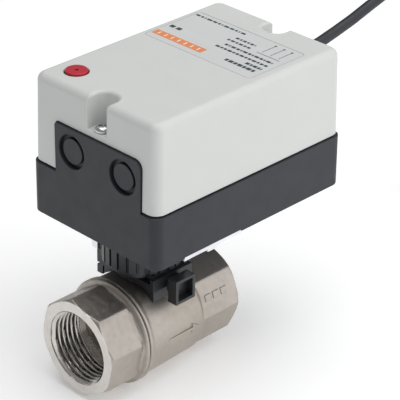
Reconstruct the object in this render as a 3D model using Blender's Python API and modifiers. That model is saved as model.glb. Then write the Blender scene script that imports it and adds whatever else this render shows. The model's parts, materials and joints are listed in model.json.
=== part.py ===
"""Motorised two-port ball valve, DN25, with a quick-fit rotary actuator.

Millimetres in the constants and in every helper's arguments; the helpers turn
them into metres.  Z is up and runs along the valve's stem, Y is the pipe axis
(the front port faces -Y), and the origin is where the two axes cross, at the
centre of the ball.
"""
import math

import bmesh
import bpy
from mathutils import Matrix, Vector

MM = 0.001
GAP = 0.3                      # between pieces that touch

# ---- Valve -------------------------------------------------------------------
PORT_FACE = 37.5               # the two port faces, each side of the stem
PORT_BORE_R = 15.15            # G1 female thread, at its minor diameter
PORT_MOUTH_R = 16.93           # chamfer at the mouth of the thread
PORT_DEPTH = 18.0
WATERWAY_R = 11.0
BALL_R = 17.5
BODY_R_FRONT = 22.5
BODY_R_REAR = 21.7
BODY_RIM_R = 23.4              # swollen rim where the end piece screws in
BODY_RIM_FACE = -17.4
BODY_RIM_BACK = -15.6
CAVITY_R = 18.3                # round the ball
SPIGOT_BORE_R = 19.9           # female thread that takes the end piece
SPIGOT_BORE_END = -8.0
REAR_OCT_R = 21.1              # to the corners
REAR_OCT_START = 14.7
FRONT_OCT_R = 22.2
FRONT_OCT_END = -19.6
FRONT_OCT_TURN = 10.0          # degrees, as it stopped when it was screwed in
SEAT_R = 15.0
SEAT_FACE = 9.9                # ball side of a seat ring
SEAT_BACK = 14.5
NECK_R = 10.0
NECK_TOP = 34.0
NECK_GROOVE_R = 8.3
FORK_LOW = 23.3                # the lock fork's prongs, and the neck's groove
FORK_HIGH = 26.3
STEM_R = 5.5
STEM_TOP = 44.0
STEM_SQUARE = 8.0
STEM_FLANGE_R = 7.2
STEM_FLANGE_LOW = 18.2
STEM_FLANGE_HIGH = 20.0
STEM_WASHER_TOP = 20.9
RING_GROOVE_R = 4.3
RING_HEIGHTS = (25.0, 29.0)

# ---- Adapter under the actuator ----------------------------------------------
COLLAR_R = 17.3
COLLAR_LOW = 29.7
COLLAR_HIGH = 46.2
COLLAR_RIBS = 25
RIB_DEPTH = 0.9
SADDLE_R = 14.5
SADDLE_TOP = 29.4
SADDLE_LOW = 15.5
SADDLE_HALF_Y = 8.9
SADDLE_RIGHT = 15.6
CLAW_X = (-18.3, -14.9)
CLAW_Y = (5.9, 8.9)            # the claws, and the collar's lugs above them
CLAW_LOW = 17.1
CLAW_NOTCH_Z = (20.9, 22.1)
PRONG_Y = (8.6, 11.1)
PRONG_LEFT = -13.5
FORK_BAR_X = (15.9, 17.9)
FORK_BAR_TOP = 28.6
HANDLE_X = (20.6, 25.4)
HANDLE_NECK_HALF_Y = 3.0
HANDLE_NECK_Z = (21.0, 27.0)
HANDLE_HALF_Y = 5.45
HANDLE_Z = (17.9, 29.0)
HANDLE_WALL = 1.4

# ---- Actuator housing --------------------------------------------------------
HALF_X = 36.65
FRONT_Y = -27.7
REAR_Y = 80.9
BASE_LOW = 47.4
SEAM = 70.7
TOP = 109.9
CORNER_R = 4.0
WALL = 2.5
FLOOR_T = 3.0
COVER_WALL = 2.0
SEAM_GAP = 0.5
INSET_LOW = 0.7                # the cover stands back from the base at the seam
INSET_HIGH = 1.35              # and a little more at its top
TONGUE_X = (-21.7, 27.9)       # panel that rises from the base over each end
TONGUE_TOP = 92.9
TONGUE_CORNERS = (1.5, 3.5)    # radii of its top corners, left and right
OPENING_X = (-11.7, 17.75)     # round cable openings in each panel
OPENING_Z = 82.8
OPENING_R = 7.4
KNOCKOUT_GROOVE = 1.3          # width of the groove round a disc
KNOCKOUT_DEEP = 1.9            # its depth
KNOCKOUT_SUNK = 0.6            # the disc's own depth
CHANNEL_X = 2.1                # screw channels in the cover's ends
CHANNEL_HALF = 5.6
CHANNEL_DEPTH = 10.8
LEDGE = 95.7
SCREW_INSET = 4.6
PILLAR_LOW = 73.5
BARREL_R = 8.0                 # drive socket that comes down through the floor
PLATE_Z = (46.5, 48.1)
PLATE_X = (-30.0, 36.4)
PLATE_Y = (-11.6, 20.4)
PLATE_SCREW_X = 22.0
PLATE_SCREW_Y = 12.0
LABEL_X = (-30.9, 29.2)
LABEL_Y = (30.7, 63.4)
BUTTON_R = 4.9
BUTTON_TOP = 111.3

# ---- Gear train --------------------------------------------------------------
CLUTCH_AXIS = (-23.11, -13.96) # 27 mm from the stem's axis, under the button
MOTOR_AXIS = (-23.11, -1.46)   # 12.5 mm behind it
DRIVE_MODULE = 1.0
DRIVE_TEETH = 45
CLUTCH_PINION_TEETH = 9
FAST_MODULE = 0.625
CLUTCH_WHEEL_TEETH = 32
MOTOR_TEETH = 8
DRIVE_Z = (58.5, 61.0)
CLUTCH_PINION_Z = (58.2, 61.3)
CLUTCH_WHEEL_Z = (65.0, 67.0)
MOTOR_PINION_Z = (61.4, 68.0)
AXLE_R = 1.5
AXLE_TOP = 65.6
BUTTON_FOOT = 67.6             # rests just above the clutch gear
BUTTON_TRAVEL = 3.4
DECK_Z = (68.6, 70.1)
MOTOR_CENTRE = (-7.0, 8.0)
MOTOR_R = 24.5
MOTOR_Z = (70.4, 91.0)
CAM_R = 11.5
CAM_LOBE_R = 13.0
CAM_LEVELS = ((51.2, 53.0), (53.3, 55.1))
SWITCH_NEAR = 14.6
SWITCH_FAR = 21.1
SWITCH_HALF = 6.4
SWITCH_Z = (50.8, 56.4)
BOARD_Z = (70.4, 72.0)

# ---- Cable -------------------------------------------------------------------
CABLE_R = 2.5
CABLE_EXIT_Y = 106.3           # tip of the bush's sleeve
COIL_CENTRE = (18.3, 238.0)
COIL_INNER_R = 22.5            # two turns wide and two turns high
COIL_OUTER_R = 32.5
COIL_LOW = 1.2                 # above the ground, on its tie
TAIL_DOWN_Y = (228.0, 206.0)   # where the end comes down from the top of the coil
SHEATH_END_Y = 204.0
CORE_LENGTH = 26.0
CORE_R = 1.0
FERRULE_LENGTH = 8.0
GROUND = -BODY_RIM_R           # level of the lowest point of the valve

MODEL = "motorised_ball_valve"


# ---- Helpers -----------------------------------------------------------------

def clear_scene():
    for obj in list(bpy.data.objects):
        bpy.data.objects.remove(obj, do_unlink=True)


def new_collection(name):
    coll = bpy.data.collections.new(name)
    bpy.context.scene.collection.children.link(coll)
    return coll


def material(name, colour, roughness, metallic=0.0):
    mat = bpy.data.materials.new(name)
    mat.use_nodes = True
    shader = mat.node_tree.nodes["Principled BSDF"]
    shader.inputs["Base Color"].default_value = (*colour, 1.0)
    shader.inputs["Roughness"].default_value = roughness
    shader.inputs["Metallic"].default_value = metallic
    mat.diffuse_color = (*colour, 1.0)
    return mat


def add_object(name, mesh):
    obj = bpy.data.objects.new(name, mesh)
    PARTS.objects.link(obj)
    return obj


def make_tool(obj):
    """Move an operand of a Boolean out of the parts and hide it."""
    PARTS.objects.unlink(obj)
    TOOLS.objects.link(obj)
    obj.hide_render = True
    obj.display_type = 'WIRE'
    return obj


def boolean(obj, tool, operation):
    if tool.name in PARTS.objects:
        make_tool(tool)
    mod = obj.modifiers.new(operation.title() + "_" + tool.name, 'BOOLEAN')
    mod.operation = operation
    mod.solver = 'EXACT'
    mod.object = tool
    return obj


def cut(obj, *tools):
    for tool in tools:
        boolean(obj, tool, 'DIFFERENCE')
    return obj


def join(obj, *tools):
    for tool in tools:
        boolean(obj, tool, 'UNION')
    return obj


def finish(obj, mat, smooth=True):
    obj.data.materials.append(mat)
    if smooth:
        obj.data.shade_smooth()
        obj.data.set_sharp_from_angle(angle=math.radians(35))


def bevel(obj, width, segments=2, angle=50):
    mod = obj.modifiers.new("Rounded_edges", 'BEVEL')
    mod.width = width * MM
    mod.segments = segments
    mod.limit_method = 'ANGLE'
    mod.angle_limit = math.radians(angle)
    return obj


def box(name, low, high):
    """A box between two corners."""
    mesh = bpy.data.meshes.new(name)
    bm = bmesh.new()
    bmesh.ops.create_cube(bm, size=1.0)
    size = [(b - a) * MM for a, b in zip(low, high)]
    bmesh.ops.scale(bm, vec=size, verts=bm.verts)
    bm.to_mesh(mesh)
    bm.free()
    obj = add_object(name, mesh)
    obj.location = [(a + b) / 2 * MM for a, b in zip(low, high)]
    return obj


def housing_block(name, inset_low, inset_high, z_low, z_high, corner):
    """The actuator's outline as a block, inset by so much at each end, with
    its four upright edges rounded."""
    mesh = bpy.data.meshes.new(name)
    bm = bmesh.new()
    bmesh.ops.create_cube(bm, size=2.0)
    upright = [e for e in bm.edges if abs(e.verts[0].co.z - e.verts[1].co.z) > 1.0]
    for vert in bm.verts:
        inset = inset_high if vert.co.z > 0 else inset_low
        vert.co.x *= (HALF_X - inset) * MM
        vert.co.y *= ((REAR_Y - FRONT_Y) / 2 - inset) * MM
        vert.co.z *= (z_high - z_low) / 2 * MM
    bmesh.ops.bevel(bm, geom=upright, offset=corner * MM, segments=4,
                    affect='EDGES', profile=0.5)
    bm.to_mesh(mesh)
    bm.free()
    obj = add_object(name, mesh)
    obj.location = Vector((0, (REAR_Y + FRONT_Y) / 2, (z_low + z_high) / 2)) * MM
    return obj


def cylinder(name, radius, low, high, centre=(0, 0), axis='Z', segments=32, turn=0.0):
    """A cylinder between two heights along an axis.  centre holds the other
    two coordinates, in the order x, y, z."""
    mesh = bpy.data.meshes.new(name)
    bm = bmesh.new()
    bmesh.ops.create_cone(bm, cap_ends=True, segments=segments,
                          radius1=radius * MM, radius2=radius * MM,
                          depth=(high - low) * MM)
    bmesh.ops.rotate(bm, cent=(0, 0, 0), verts=bm.verts,
                     matrix=Matrix.Rotation(math.radians(turn), 3, 'Z'))
    bm.to_mesh(mesh)
    bm.free()
    obj = add_object(name, mesh)
    place_on_axis(obj, axis, centre, (low + high) / 2)
    return obj


def place_on_axis(obj, axis, centre, along=0.0):
    """Lay an object that was made along Z along one of the axes."""
    first, second = centre
    if axis == 'X':
        obj.rotation_euler = (0, math.radians(90), 0)
        obj.location = Vector((along, first, second)) * MM
    elif axis == 'Y':
        obj.rotation_euler = (math.radians(-90), 0, 0)
        obj.location = Vector((first, along, second)) * MM
    else:
        obj.location = Vector((first, second, along)) * MM


def turned(name, profile, centre=(0, 0), axis='Z', steps=32, closed=False):
    """A turned piece.  profile lists (radius, height), down its outer side; it
    ends on the axis at both ends, or closed joins its last point to its first."""
    mesh = bpy.data.meshes.new(name)
    bm = bmesh.new()
    verts = [bm.verts.new((r * MM, 0, z * MM)) for r, z in profile]
    for a, b in zip(verts, verts[1:]):
        bm.edges.new((a, b))
    if closed:
        bm.edges.new((verts[-1], verts[0]))
    bm.to_mesh(mesh)
    bm.free()
    obj = add_object(name, mesh)
    screw = obj.modifiers.new("Turned", 'SCREW')
    screw.steps = steps
    screw.render_steps = steps
    screw.use_merge_vertices = True
    screw.merge_threshold = 0.00001
    screw.use_smooth_shade = True
    place_on_axis(obj, axis, centre)
    return obj


def ring(name, inner, outer, low, high, centre=(0, 0), axis='Z', steps=32):
    profile = [(outer, high), (outer, low), (inner, low), (inner, high)]
    return turned(name, profile, centre, axis, steps, closed=True)


def curve_to_mesh(obj):
    """Swap a curve object for a mesh one, with its caps welded on."""
    name = obj.name
    bpy.context.view_layer.update()
    evaluated = obj.evaluated_get(bpy.context.evaluated_depsgraph_get())
    mesh = bpy.data.meshes.new_from_object(evaluated)
    bm = bmesh.new()
    bm.from_mesh(mesh)
    bmesh.ops.remove_doubles(bm, verts=bm.verts, dist=0.000002)
    bmesh.ops.recalc_face_normals(bm, faces=bm.faces)
    bm.to_mesh(mesh)
    bm.free()
    matrix = obj.matrix_world.copy()
    bpy.data.objects.remove(obj, do_unlink=True)
    made = add_object(name, mesh)
    made.matrix_world = matrix
    return made


def plate(name, outlines, low, high, centre=(0, 0), axis='Z'):
    """A flat piece: 2D outlines (the first is the outside, the rest holes),
    filled and given a thickness."""
    data = bpy.data.curves.new(name, 'CURVE')
    data.dimensions = '2D'
    data.fill_mode = 'BOTH'
    data.extrude = (high - low) / 2 * MM
    for outline in outlines:
        spline = data.splines.new('POLY')
        spline.points.add(len(outline) - 1)
        for point, (x, y) in zip(spline.points, outline):
            point.co = (x * MM, y * MM, 0, 1)
        spline.use_cyclic_u = True
    obj = add_object(name, data)
    place_on_axis(obj, axis, centre, (low + high) / 2)
    return curve_to_mesh(obj)


def circle_points(radius, count, centre=(0, 0)):
    return [(centre[0] + radius * math.cos(2 * math.pi * i / count),
             centre[1] + radius * math.sin(2 * math.pi * i / count))
            for i in range(count)]


def toothed_points(teeth, tip, root, tip_share, root_share, turn=0.0):
    """Outline of a ring of straight-sided teeth; a share is the part of the
    tooth pitch that a tooth covers there.  turn is in degrees."""
    points = []
    pitch = 2 * math.pi / teeth
    for i in range(teeth):
        middle = i * pitch + math.radians(turn)
        for radius, share in ((root, -root_share), (tip, -tip_share),
                              (tip, tip_share), (root, root_share)):
            angle = middle + share / 2 * pitch
            points.append((radius * math.cos(angle), radius * math.sin(angle)))
    return points


def gear_points(teeth, module, turn=0.0):
    pitch_r = teeth * module / 2
    return toothed_points(teeth, pitch_r + 0.75 * module, pitch_r - 1.15 * module,
                          0.24, 0.56, turn)


def smooth_route(points, spacing):
    """Points about spacing apart on a smooth curve through the given ones."""
    path = [Vector(p) for p in points]
    ends = [2 * path[0] - path[1]] + path + [2 * path[-1] - path[-2]]
    dense = []
    for a, b, c, d in zip(ends, ends[1:], ends[2:], ends[3:]):
        count = max(1, round((c - b).length / spacing))
        for i in range(count):
            t = i / count
            dense.append(0.5 * (2 * b + (c - a) * t
                                + (2 * a - 5 * b + 4 * c - d) * t ** 2
                                + (3 * b - a - 3 * c + d) * t ** 3))
    dense.append(path[-1])
    return dense


def tube(name, points, radius, resolution=2):
    data = bpy.data.curves.new(name, 'CURVE')
    data.dimensions = '3D'
    data.bevel_depth = radius * MM
    data.bevel_resolution = resolution
    data.use_fill_caps = True
    spline = data.splines.new('POLY')
    spline.points.add(len(points) - 1)
    for point, co in zip(spline.points, points):
        point.co = (*(Vector(co) * MM), 1)
    return curve_to_mesh(add_object(name, data))


def screw(name, centre, head_r, head_z, shank_r, tip_z, drive_r, mat, slot=False):
    """A screw whose head lies between the two heights of head_z, with a drive
    recess in the face that is further from its tip."""
    low, high = sorted(head_z)
    up = tip_z < low
    seat, face = (low, high) if up else (high, low)
    crown = face - 0.4 if up else face + 0.4
    profile = [(0, face), (head_r - 0.5, face), (head_r, crown), (head_r, seat),
               (shank_r, seat), (shank_r, tip_z), (0, tip_z)]
    if not up:
        profile.reverse()
    obj = turned(name, profile, centre, steps=14)
    x, y = centre
    deep = (face - 1.0, face + 1.0)
    cut(obj, box(name + "_drive", (x - drive_r, y - 0.45, deep[0]),
                 (x + drive_r, y + 0.45, deep[1])))
    if not slot:
        cut(obj, box(name + "_drive_across", (x - 0.45, y - drive_r, deep[0]),
                     (x + 0.45, y + drive_r, deep[1])))
    finish(obj, mat)


# ---- Valve -------------------------------------------------------------------

def port_cutter(name, end):
    """The socket in one end of the valve; end is +1 for the rear, -1 for the front."""
    mouth = PORT_FACE + 1.0
    slope = PORT_MOUTH_R - PORT_BORE_R
    profile = [(0, mouth), (PORT_MOUTH_R + 1.0, mouth),
               (PORT_BORE_R, PORT_FACE - slope),
               (PORT_BORE_R, PORT_FACE - PORT_DEPTH), (0, PORT_FACE - PORT_DEPTH)]
    if end < 0:
        profile = [(r, -z) for r, z in reversed(profile)]
    return make_tool(turned(name, profile, axis='Y', steps=36))


def build_valve_body():
    neck = cylinder("neck_blank", NECK_R, 15.0, NECK_TOP)
    octagon = cylinder("rear_octagon", REAR_OCT_R, REAR_OCT_START, PORT_FACE,
                       axis='Y', segments=8)
    barrel_profile = [(0, 20.0), (19.4, 20.0), (19.4, 16.5), (BODY_R_REAR, 14.2),
                      (BODY_R_FRONT, -14.6), (BODY_RIM_R, BODY_RIM_BACK),
                      (BODY_RIM_R, BODY_RIM_FACE), (0, BODY_RIM_FACE)]
    body = turned("valve_body", barrel_profile, axis='Y', steps=36)
    join(body, octagon, neck)
    groove = ring("neck_groove", NECK_GROOVE_R, NECK_R + 1,
                  FORK_LOW - GAP, FORK_HIGH + GAP, steps=26)
    cavity = turned("ball_cavity",
                    [(0, 20.0), (WATERWAY_R, 20.0), (WATERWAY_R, SEAT_BACK + GAP),
                     (SEAT_R + GAP, SEAT_BACK + GAP), (SEAT_R + GAP, SEAT_FACE - GAP),
                     (CAVITY_R, SEAT_FACE - GAP), (CAVITY_R, SPIGOT_BORE_END),
                     (SPIGOT_BORE_R, SPIGOT_BORE_END),
                     (SPIGOT_BORE_R, BODY_RIM_FACE - 1), (0, BODY_RIM_FACE - 1)],
                    axis='Y', steps=32)
    stem_bore = turned("stem_bore",
                       [(0, NECK_TOP + 1), (STEM_R + 0.4, NECK_TOP + 1),
                        (STEM_R + 0.4, STEM_WASHER_TOP + GAP),
                        (STEM_FLANGE_R + 0.6, STEM_WASHER_TOP + GAP),
                        (STEM_FLANGE_R + 0.6, 14.0), (0, 14.0)], steps=20)
    cut(body, groove, cavity, port_cutter("rear_port", 1), stem_bore)
    finish(body, NICKEL)


def build_end_retainer():
    octagon = cylinder("end_retainer", FRONT_OCT_R, -PORT_FACE, FRONT_OCT_END,
                       axis='Y', segments=8, turn=-FRONT_OCT_TURN)
    nose = turned("retainer_spigot",
                  [(0, -9.6), (SPIGOT_BORE_R - GAP, -9.6),
                   (SPIGOT_BORE_R - GAP, BODY_RIM_FACE - GAP),
                   (BODY_RIM_R, BODY_RIM_FACE - GAP), (BODY_RIM_R, FRONT_OCT_END + 0.4),
                   (FRONT_OCT_R - 2.1, FRONT_OCT_END - 0.7), (0, FRONT_OCT_END - 0.7)],
                  axis='Y', steps=34)
    waterway = turned("retainer_waterway",
                      [(0, -8.0), (SEAT_R + GAP, -8.0), (SEAT_R + GAP, -SEAT_BACK - GAP),
                       (WATERWAY_R, -SEAT_BACK - GAP), (WATERWAY_R, -21.0), (0, -21.0)],
                      axis='Y', steps=32)
    join(octagon, nose)
    cut(octagon, waterway, port_cutter("front_port", -1))
    finish(octagon, NICKEL)


def build_seats():
    """The rings that the ball turns between; each face is cut to the ball."""
    for name, side in (("seat_ring_front", -1), ("seat_ring_rear", 1)):
        touch = BALL_R + GAP
        inner = WATERWAY_R + 0.3
        profile = [(SEAT_R, SEAT_BACK), (SEAT_R, SEAT_FACE)]
        for r in (14.6, 13.0):
            profile.append((r, math.sqrt(touch ** 2 - r ** 2)))
        profile += [(inner, math.sqrt(touch ** 2 - inner ** 2)), (inner, SEAT_BACK)]
        if side < 0:
            profile = [(r, -y) for r, y in reversed(profile)]
        finish(turned(name, profile, axis='Y', steps=28, closed=True), PTFE)
    gasket = ring("body_gasket", CAVITY_R + 0.2, SPIGOT_BORE_R - 0.3, -9.3, -8.3,
                  axis='Y', steps=28)
    finish(gasket, PTFE)


def build_ball():
    steps = 12
    arc = [(BALL_R * math.sin(math.pi * i / steps), BALL_R * math.cos(math.pi * i / steps))
           for i in range(steps + 1)]
    ball = turned("ball", arc, steps=26)
    bore = cylinder("ball_bore", WATERWAY_R, -20, 20, axis='Y', segments=24)
    slot = box("ball_slot", (-20, -2.6, 14.2), (20, 2.6, 20))
    cut(ball, bore, slot)
    finish(ball, CHROME)


def build_stem():
    tang_high = STEM_FLANGE_LOW
    profile = [(0, STEM_TOP), (STEM_R - 0.8, STEM_TOP), (STEM_R, STEM_TOP - 0.8)]
    for height in reversed(RING_HEIGHTS):
        profile += [(STEM_R, height + 1.3), (RING_GROOVE_R, height + 1.3),
                    (RING_GROOVE_R, height - 1.3), (STEM_R, height - 1.3)]
    profile += [(STEM_R, STEM_FLANGE_HIGH), (STEM_FLANGE_R, STEM_FLANGE_HIGH),
                (STEM_FLANGE_R, tang_high), (STEM_R, tang_high), (STEM_R, 14.6), (0, 14.6)]
    stem = turned("stem", profile, steps=20)
    for side in (-1, 1):
        low, high = sorted((side * STEM_SQUARE / 2, side * 10))
        cut(stem, box(f"stem_flat_x{side}", (low, -10, 35.5), (high, 10, 50)),
            box(f"stem_flat_y{side}", (-10, low, 35.5), (10, high, 50)))
        low, high = sorted((side * 2.2, side * 10))
        cut(stem, box(f"stem_tang{side}", (-10, low, 10), (10, high, tang_high)))
    finish(stem, STEEL)
    for place, height in zip(("lower", "upper"), RING_HEIGHTS):
        seal = turned(f"stem_o_ring_{place}",
                      [(5.05 + 0.55 * math.sin(2 * math.pi * i / 6),
                        height + 0.55 * math.cos(2 * math.pi * i / 6)) for i in range(6)],
                      steps=16, closed=True)
        finish(seal, RUBBER)
    washer = ring("stem_thrust_washer", STEM_R + GAP, STEM_FLANGE_R,
                  STEM_FLANGE_HIGH + GAP, STEM_WASHER_TOP, steps=24)
    finish(washer, PTFE)


# ---- Adapter -----------------------------------------------------------------

def build_adapter():
    collar = plate("adapter_collar",
                   [toothed_points(COLLAR_RIBS, COLLAR_R, COLLAR_R - RIB_DEPTH, 0.70, 0.80),
                    circle_points(NECK_R + 0.3, 32)], COLLAR_LOW, COLLAR_HIGH)
    saddle = cylinder("adapter_saddle", SADDLE_R, FORK_HIGH + 0.4, SADDLE_TOP)
    block = box("saddle_block", (-SADDLE_R + 0.5, -SADDLE_HALF_Y, SADDLE_LOW),
                (SADDLE_RIGHT, SADDLE_HALF_Y, SADDLE_TOP - 0.05))
    join(saddle, block)
    for side in (-1, 1):
        low, high = sorted((side * CLAW_Y[0], side * CLAW_Y[1]))
        join(collar, box(f"collar_lug{side}", (CLAW_X[0], low, COLLAR_LOW + 0.1),
                         (-COLLAR_R + 2.5, high, COLLAR_HIGH - 0.1)))
        arm_low, arm_high = sorted((side * (CLAW_Y[0] + 0.2), side * (CLAW_Y[1] - 0.2)))
        join(saddle, box(f"claw_arm{side}", (CLAW_X[0] + 0.2, arm_low, FORK_HIGH + 0.7),
                         (-6.0, arm_high, SADDLE_TOP - 0.3)),
             box(f"claw{side}", (CLAW_X[0], low, CLAW_LOW), (CLAW_X[1], high, SADDLE_TOP - 0.6)))
        slot_low, slot_high = sorted((side * (PRONG_Y[0] - GAP), side * 12.0))
        cut(saddle, box(f"prong_slot{side}", (-SADDLE_R, slot_low, FORK_LOW - GAP),
                        (SADDLE_RIGHT + 1, slot_high, FORK_HIGH + GAP)),
            box(f"claw_notch{side}", (CLAW_X[0] - 1, low - 1, CLAW_NOTCH_Z[0]),
                (CLAW_X[0] + 1.4, high + 1, CLAW_NOTCH_Z[1])))
    finish(collar, BLACK)
    cut(saddle, cylinder("pipe_clearance", BODY_R_FRONT + GAP, -20, 20, axis='Y', segments=48),
        cylinder("neck_clearance", NECK_R + GAP, 10, 32))
    finish(saddle, BLACK)


def build_lock_fork():
    """U-shaped fork that locks the adapter to the neck, with a hollow square
    grip on a short neck."""
    fork = box("lock_fork", (FORK_BAR_X[0], -PRONG_Y[1], FORK_LOW),
               (FORK_BAR_X[1], PRONG_Y[1], FORK_BAR_TOP))
    for side in (-1, 1):
        low, high = sorted((side * PRONG_Y[0], side * PRONG_Y[1]))
        join(fork, box(f"prong{side}", (PRONG_LEFT, low, FORK_LOW + 0.1),
                       (FORK_BAR_X[0] + 1, high, FORK_HIGH - 0.1)))
    neck = box("grip_neck", (FORK_BAR_X[1] - 0.5, -HANDLE_NECK_HALF_Y, HANDLE_NECK_Z[0]),
               (HANDLE_X[0] + 0.5, HANDLE_NECK_HALF_Y, HANDLE_NECK_Z[1]))
    grip = box("grip", (HANDLE_X[0], -HANDLE_HALF_Y, HANDLE_Z[0]),
               (HANDLE_X[1], HANDLE_HALF_Y, HANDLE_Z[1]))
    join(fork, neck, grip)
    hollow = box("grip_hollow",
                 (HANDLE_X[0] + HANDLE_WALL, -HANDLE_HALF_Y + HANDLE_WALL,
                  HANDLE_Z[0] + HANDLE_WALL),
                 (HANDLE_X[1] + 1, HANDLE_HALF_Y - HANDLE_WALL, HANDLE_Z[1] - HANDLE_WALL))
    cut(fork, hollow)
    finish(fork, BLACK, smooth=False)


def build_mounting_plate():
    """Galvanised plate let into the floor of the base, with two legs down
    beside the collar."""
    flat = box("mounting_plate", (PLATE_X[0], PLATE_Y[0], PLATE_Z[0]),
               (PLATE_X[1], PLATE_Y[1], PLATE_Z[1]))
    for name, low, high in (("leg_left", (-18.4, -11.6, 30.4), (-15.1, -10.0, 47.0)),
                            ("leg_right", (17.2, 5.6, 31.6), (18.8, 10.0, 47.0)),
                            ("edge_tab", (33.0, 1.4, 45.4), (PLATE_X[1] - 0.05, 6.7, 47.0))):
        join(flat, box(name, low, high))
    cut(flat, cylinder("plate_hole", BARREL_R + 1.2, 40, 50))
    for side in (-1, 1):
        cut(flat, cylinder(f"plate_screw_hole{side}", 2.0, 40, 50,
                           (side * PLATE_SCREW_X, PLATE_SCREW_Y), segments=16))
        place = "left" if side < 0 else "right"
        screw(f"plate_screw_{place}", (side * PLATE_SCREW_X, PLATE_SCREW_Y), 3.2,
              (44.4, 46.2), 1.5, 54.5, 1.9, STEEL)
    finish(flat, ZINC, smooth=False)


# ---- Actuator housing --------------------------------------------------------

def end_wall(y_outer, y_inner, name, x_range, low, high):
    low_y, high_y = sorted((y_outer, y_inner))
    return box(name, (x_range[0], low_y, low), (x_range[1], high_y, high))


def tongue_wall(y_outer, y_inner, name, low, grow=0.0):
    """An upright panel with the tongue's outline, grown by so much; its two
    top corners are rounded, the right one more."""
    left, right, top = TONGUE_X[0] - grow, TONGUE_X[1] + grow, TONGUE_TOP + grow
    outline = [(left, low), (right, low)]
    for side, start, radius in ((right, 0, TONGUE_CORNERS[1] + grow),
                                (left, 90, TONGUE_CORNERS[0] + grow)):
        centre_x = side - radius if start == 0 else side + radius
        for i in range(5):
            angle = math.radians(start + 22.5 * i)
            outline.append((centre_x + radius * math.cos(angle),
                            top - radius + radius * math.sin(angle)))
    # plate() lays its outline's second coordinate along -Z
    return plate(name, [[(x, -z) for x, z in outline]], *sorted((y_outer, y_inner)), axis='Y')


def knockout(name, x, outer, inward):
    """Cutter for a thinned disc, with a deeper groove round it, that is knocked
    out for a cable."""
    groove_r = OPENING_R - KNOCKOUT_GROOVE
    profile = [(0, -1.0), (OPENING_R, -1.0), (OPENING_R, KNOCKOUT_DEEP),
               (groove_r, KNOCKOUT_DEEP), (groove_r, KNOCKOUT_SUNK), (0, KNOCKOUT_SUNK)]
    profile = [(r, outer + inward * y) for r, y in profile]
    if inward > 0:
        profile.reverse()
    return make_tool(turned(name, profile, (x, OPENING_Z), 'Y', steps=24))


def build_base():
    base = housing_block("base_housing", 0, 0, BASE_LOW, SEAM, CORNER_R)
    cut(base, housing_block("base_inside", WALL, WALL, BASE_LOW + FLOOR_T, SEAM + 5,
                            CORNER_R - WALL))
    for end, outer, inward in (("front", FRONT_Y, 1), ("rear", REAR_Y, -1)):
        wall = tongue_wall(outer, outer + inward * WALL, f"{end}_tongue", SEAM - 4)
        pillar = cylinder(f"{end}_screw_pillar", 3.6, PILLAR_LOW, TONGUE_TOP - 0.2,
                          (CHANNEL_X, outer + inward * SCREW_INSET), segments=16)
        join(base, wall, pillar)
        cut(base, cylinder(f"{end}_screw_hole", 1.9, TONGUE_TOP - 17, TONGUE_TOP + 2,
                           (CHANNEL_X, outer + inward * SCREW_INSET), segments=12))
        for i, x in enumerate(OPENING_X):
            if (end, i) != ("rear", 0):
                cut(base, knockout(f"{end}_knockout{i}", x, outer, inward))
    for name, x, y in (("deck_post_left", -30.0, 29.0), ("deck_post_right", 30.0, 29.0),
                       ("deck_post_front", 30.0, -20.5)):
        join(base, cylinder(name, 2.5, BASE_LOW + 1, DECK_Z[0] - GAP, (x, y), segments=12))
    for i, (x, y) in enumerate(((-27.0, 44.0), (27.0, 44.0), (-27.0, 68.0), (27.0, 68.0))):
        join(base, cylinder(f"board_post{i}", 2.5, BASE_LOW + 1, BOARD_Z[0] - GAP, (x, y),
                            segments=12))
    for side in (-1, 1):
        centre = (side * PLATE_SCREW_X, PLATE_SCREW_Y)
        join(base, cylinder(f"plate_boss{side}", 3.2, BASE_LOW + 1, 55.5, centre, segments=12))
        cut(base, cylinder(f"plate_boss_hole{side}", 1.8, BASE_LOW - 1, 54.8, centre,
                           segments=12))
    axle_boss = cylinder("axle_boss", 3.4, BASE_LOW + 1, 51.6, CLUTCH_AXIS, segments=16)
    join(base, axle_boss)
    cut(base, cylinder("floor_hole", BARREL_R + 0.5, 40, 60),
        box("plate_recess", (PLATE_X[0] - GAP, PLATE_Y[0] - GAP, BASE_LOW - 1),
            (HALF_X + 1, PLATE_Y[1] + GAP, PLATE_Z[1] + GAP)),
        cylinder("axle_hole", 1.8, 49.0, 60, CLUTCH_AXIS, segments=12),
        cylinder("cable_hole", 4.6, REAR_Y - 5, REAR_Y + 1, (OPENING_X[0], OPENING_Z),
                 axis='Y', segments=24))
    finish(base, ANTHRACITE)


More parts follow.
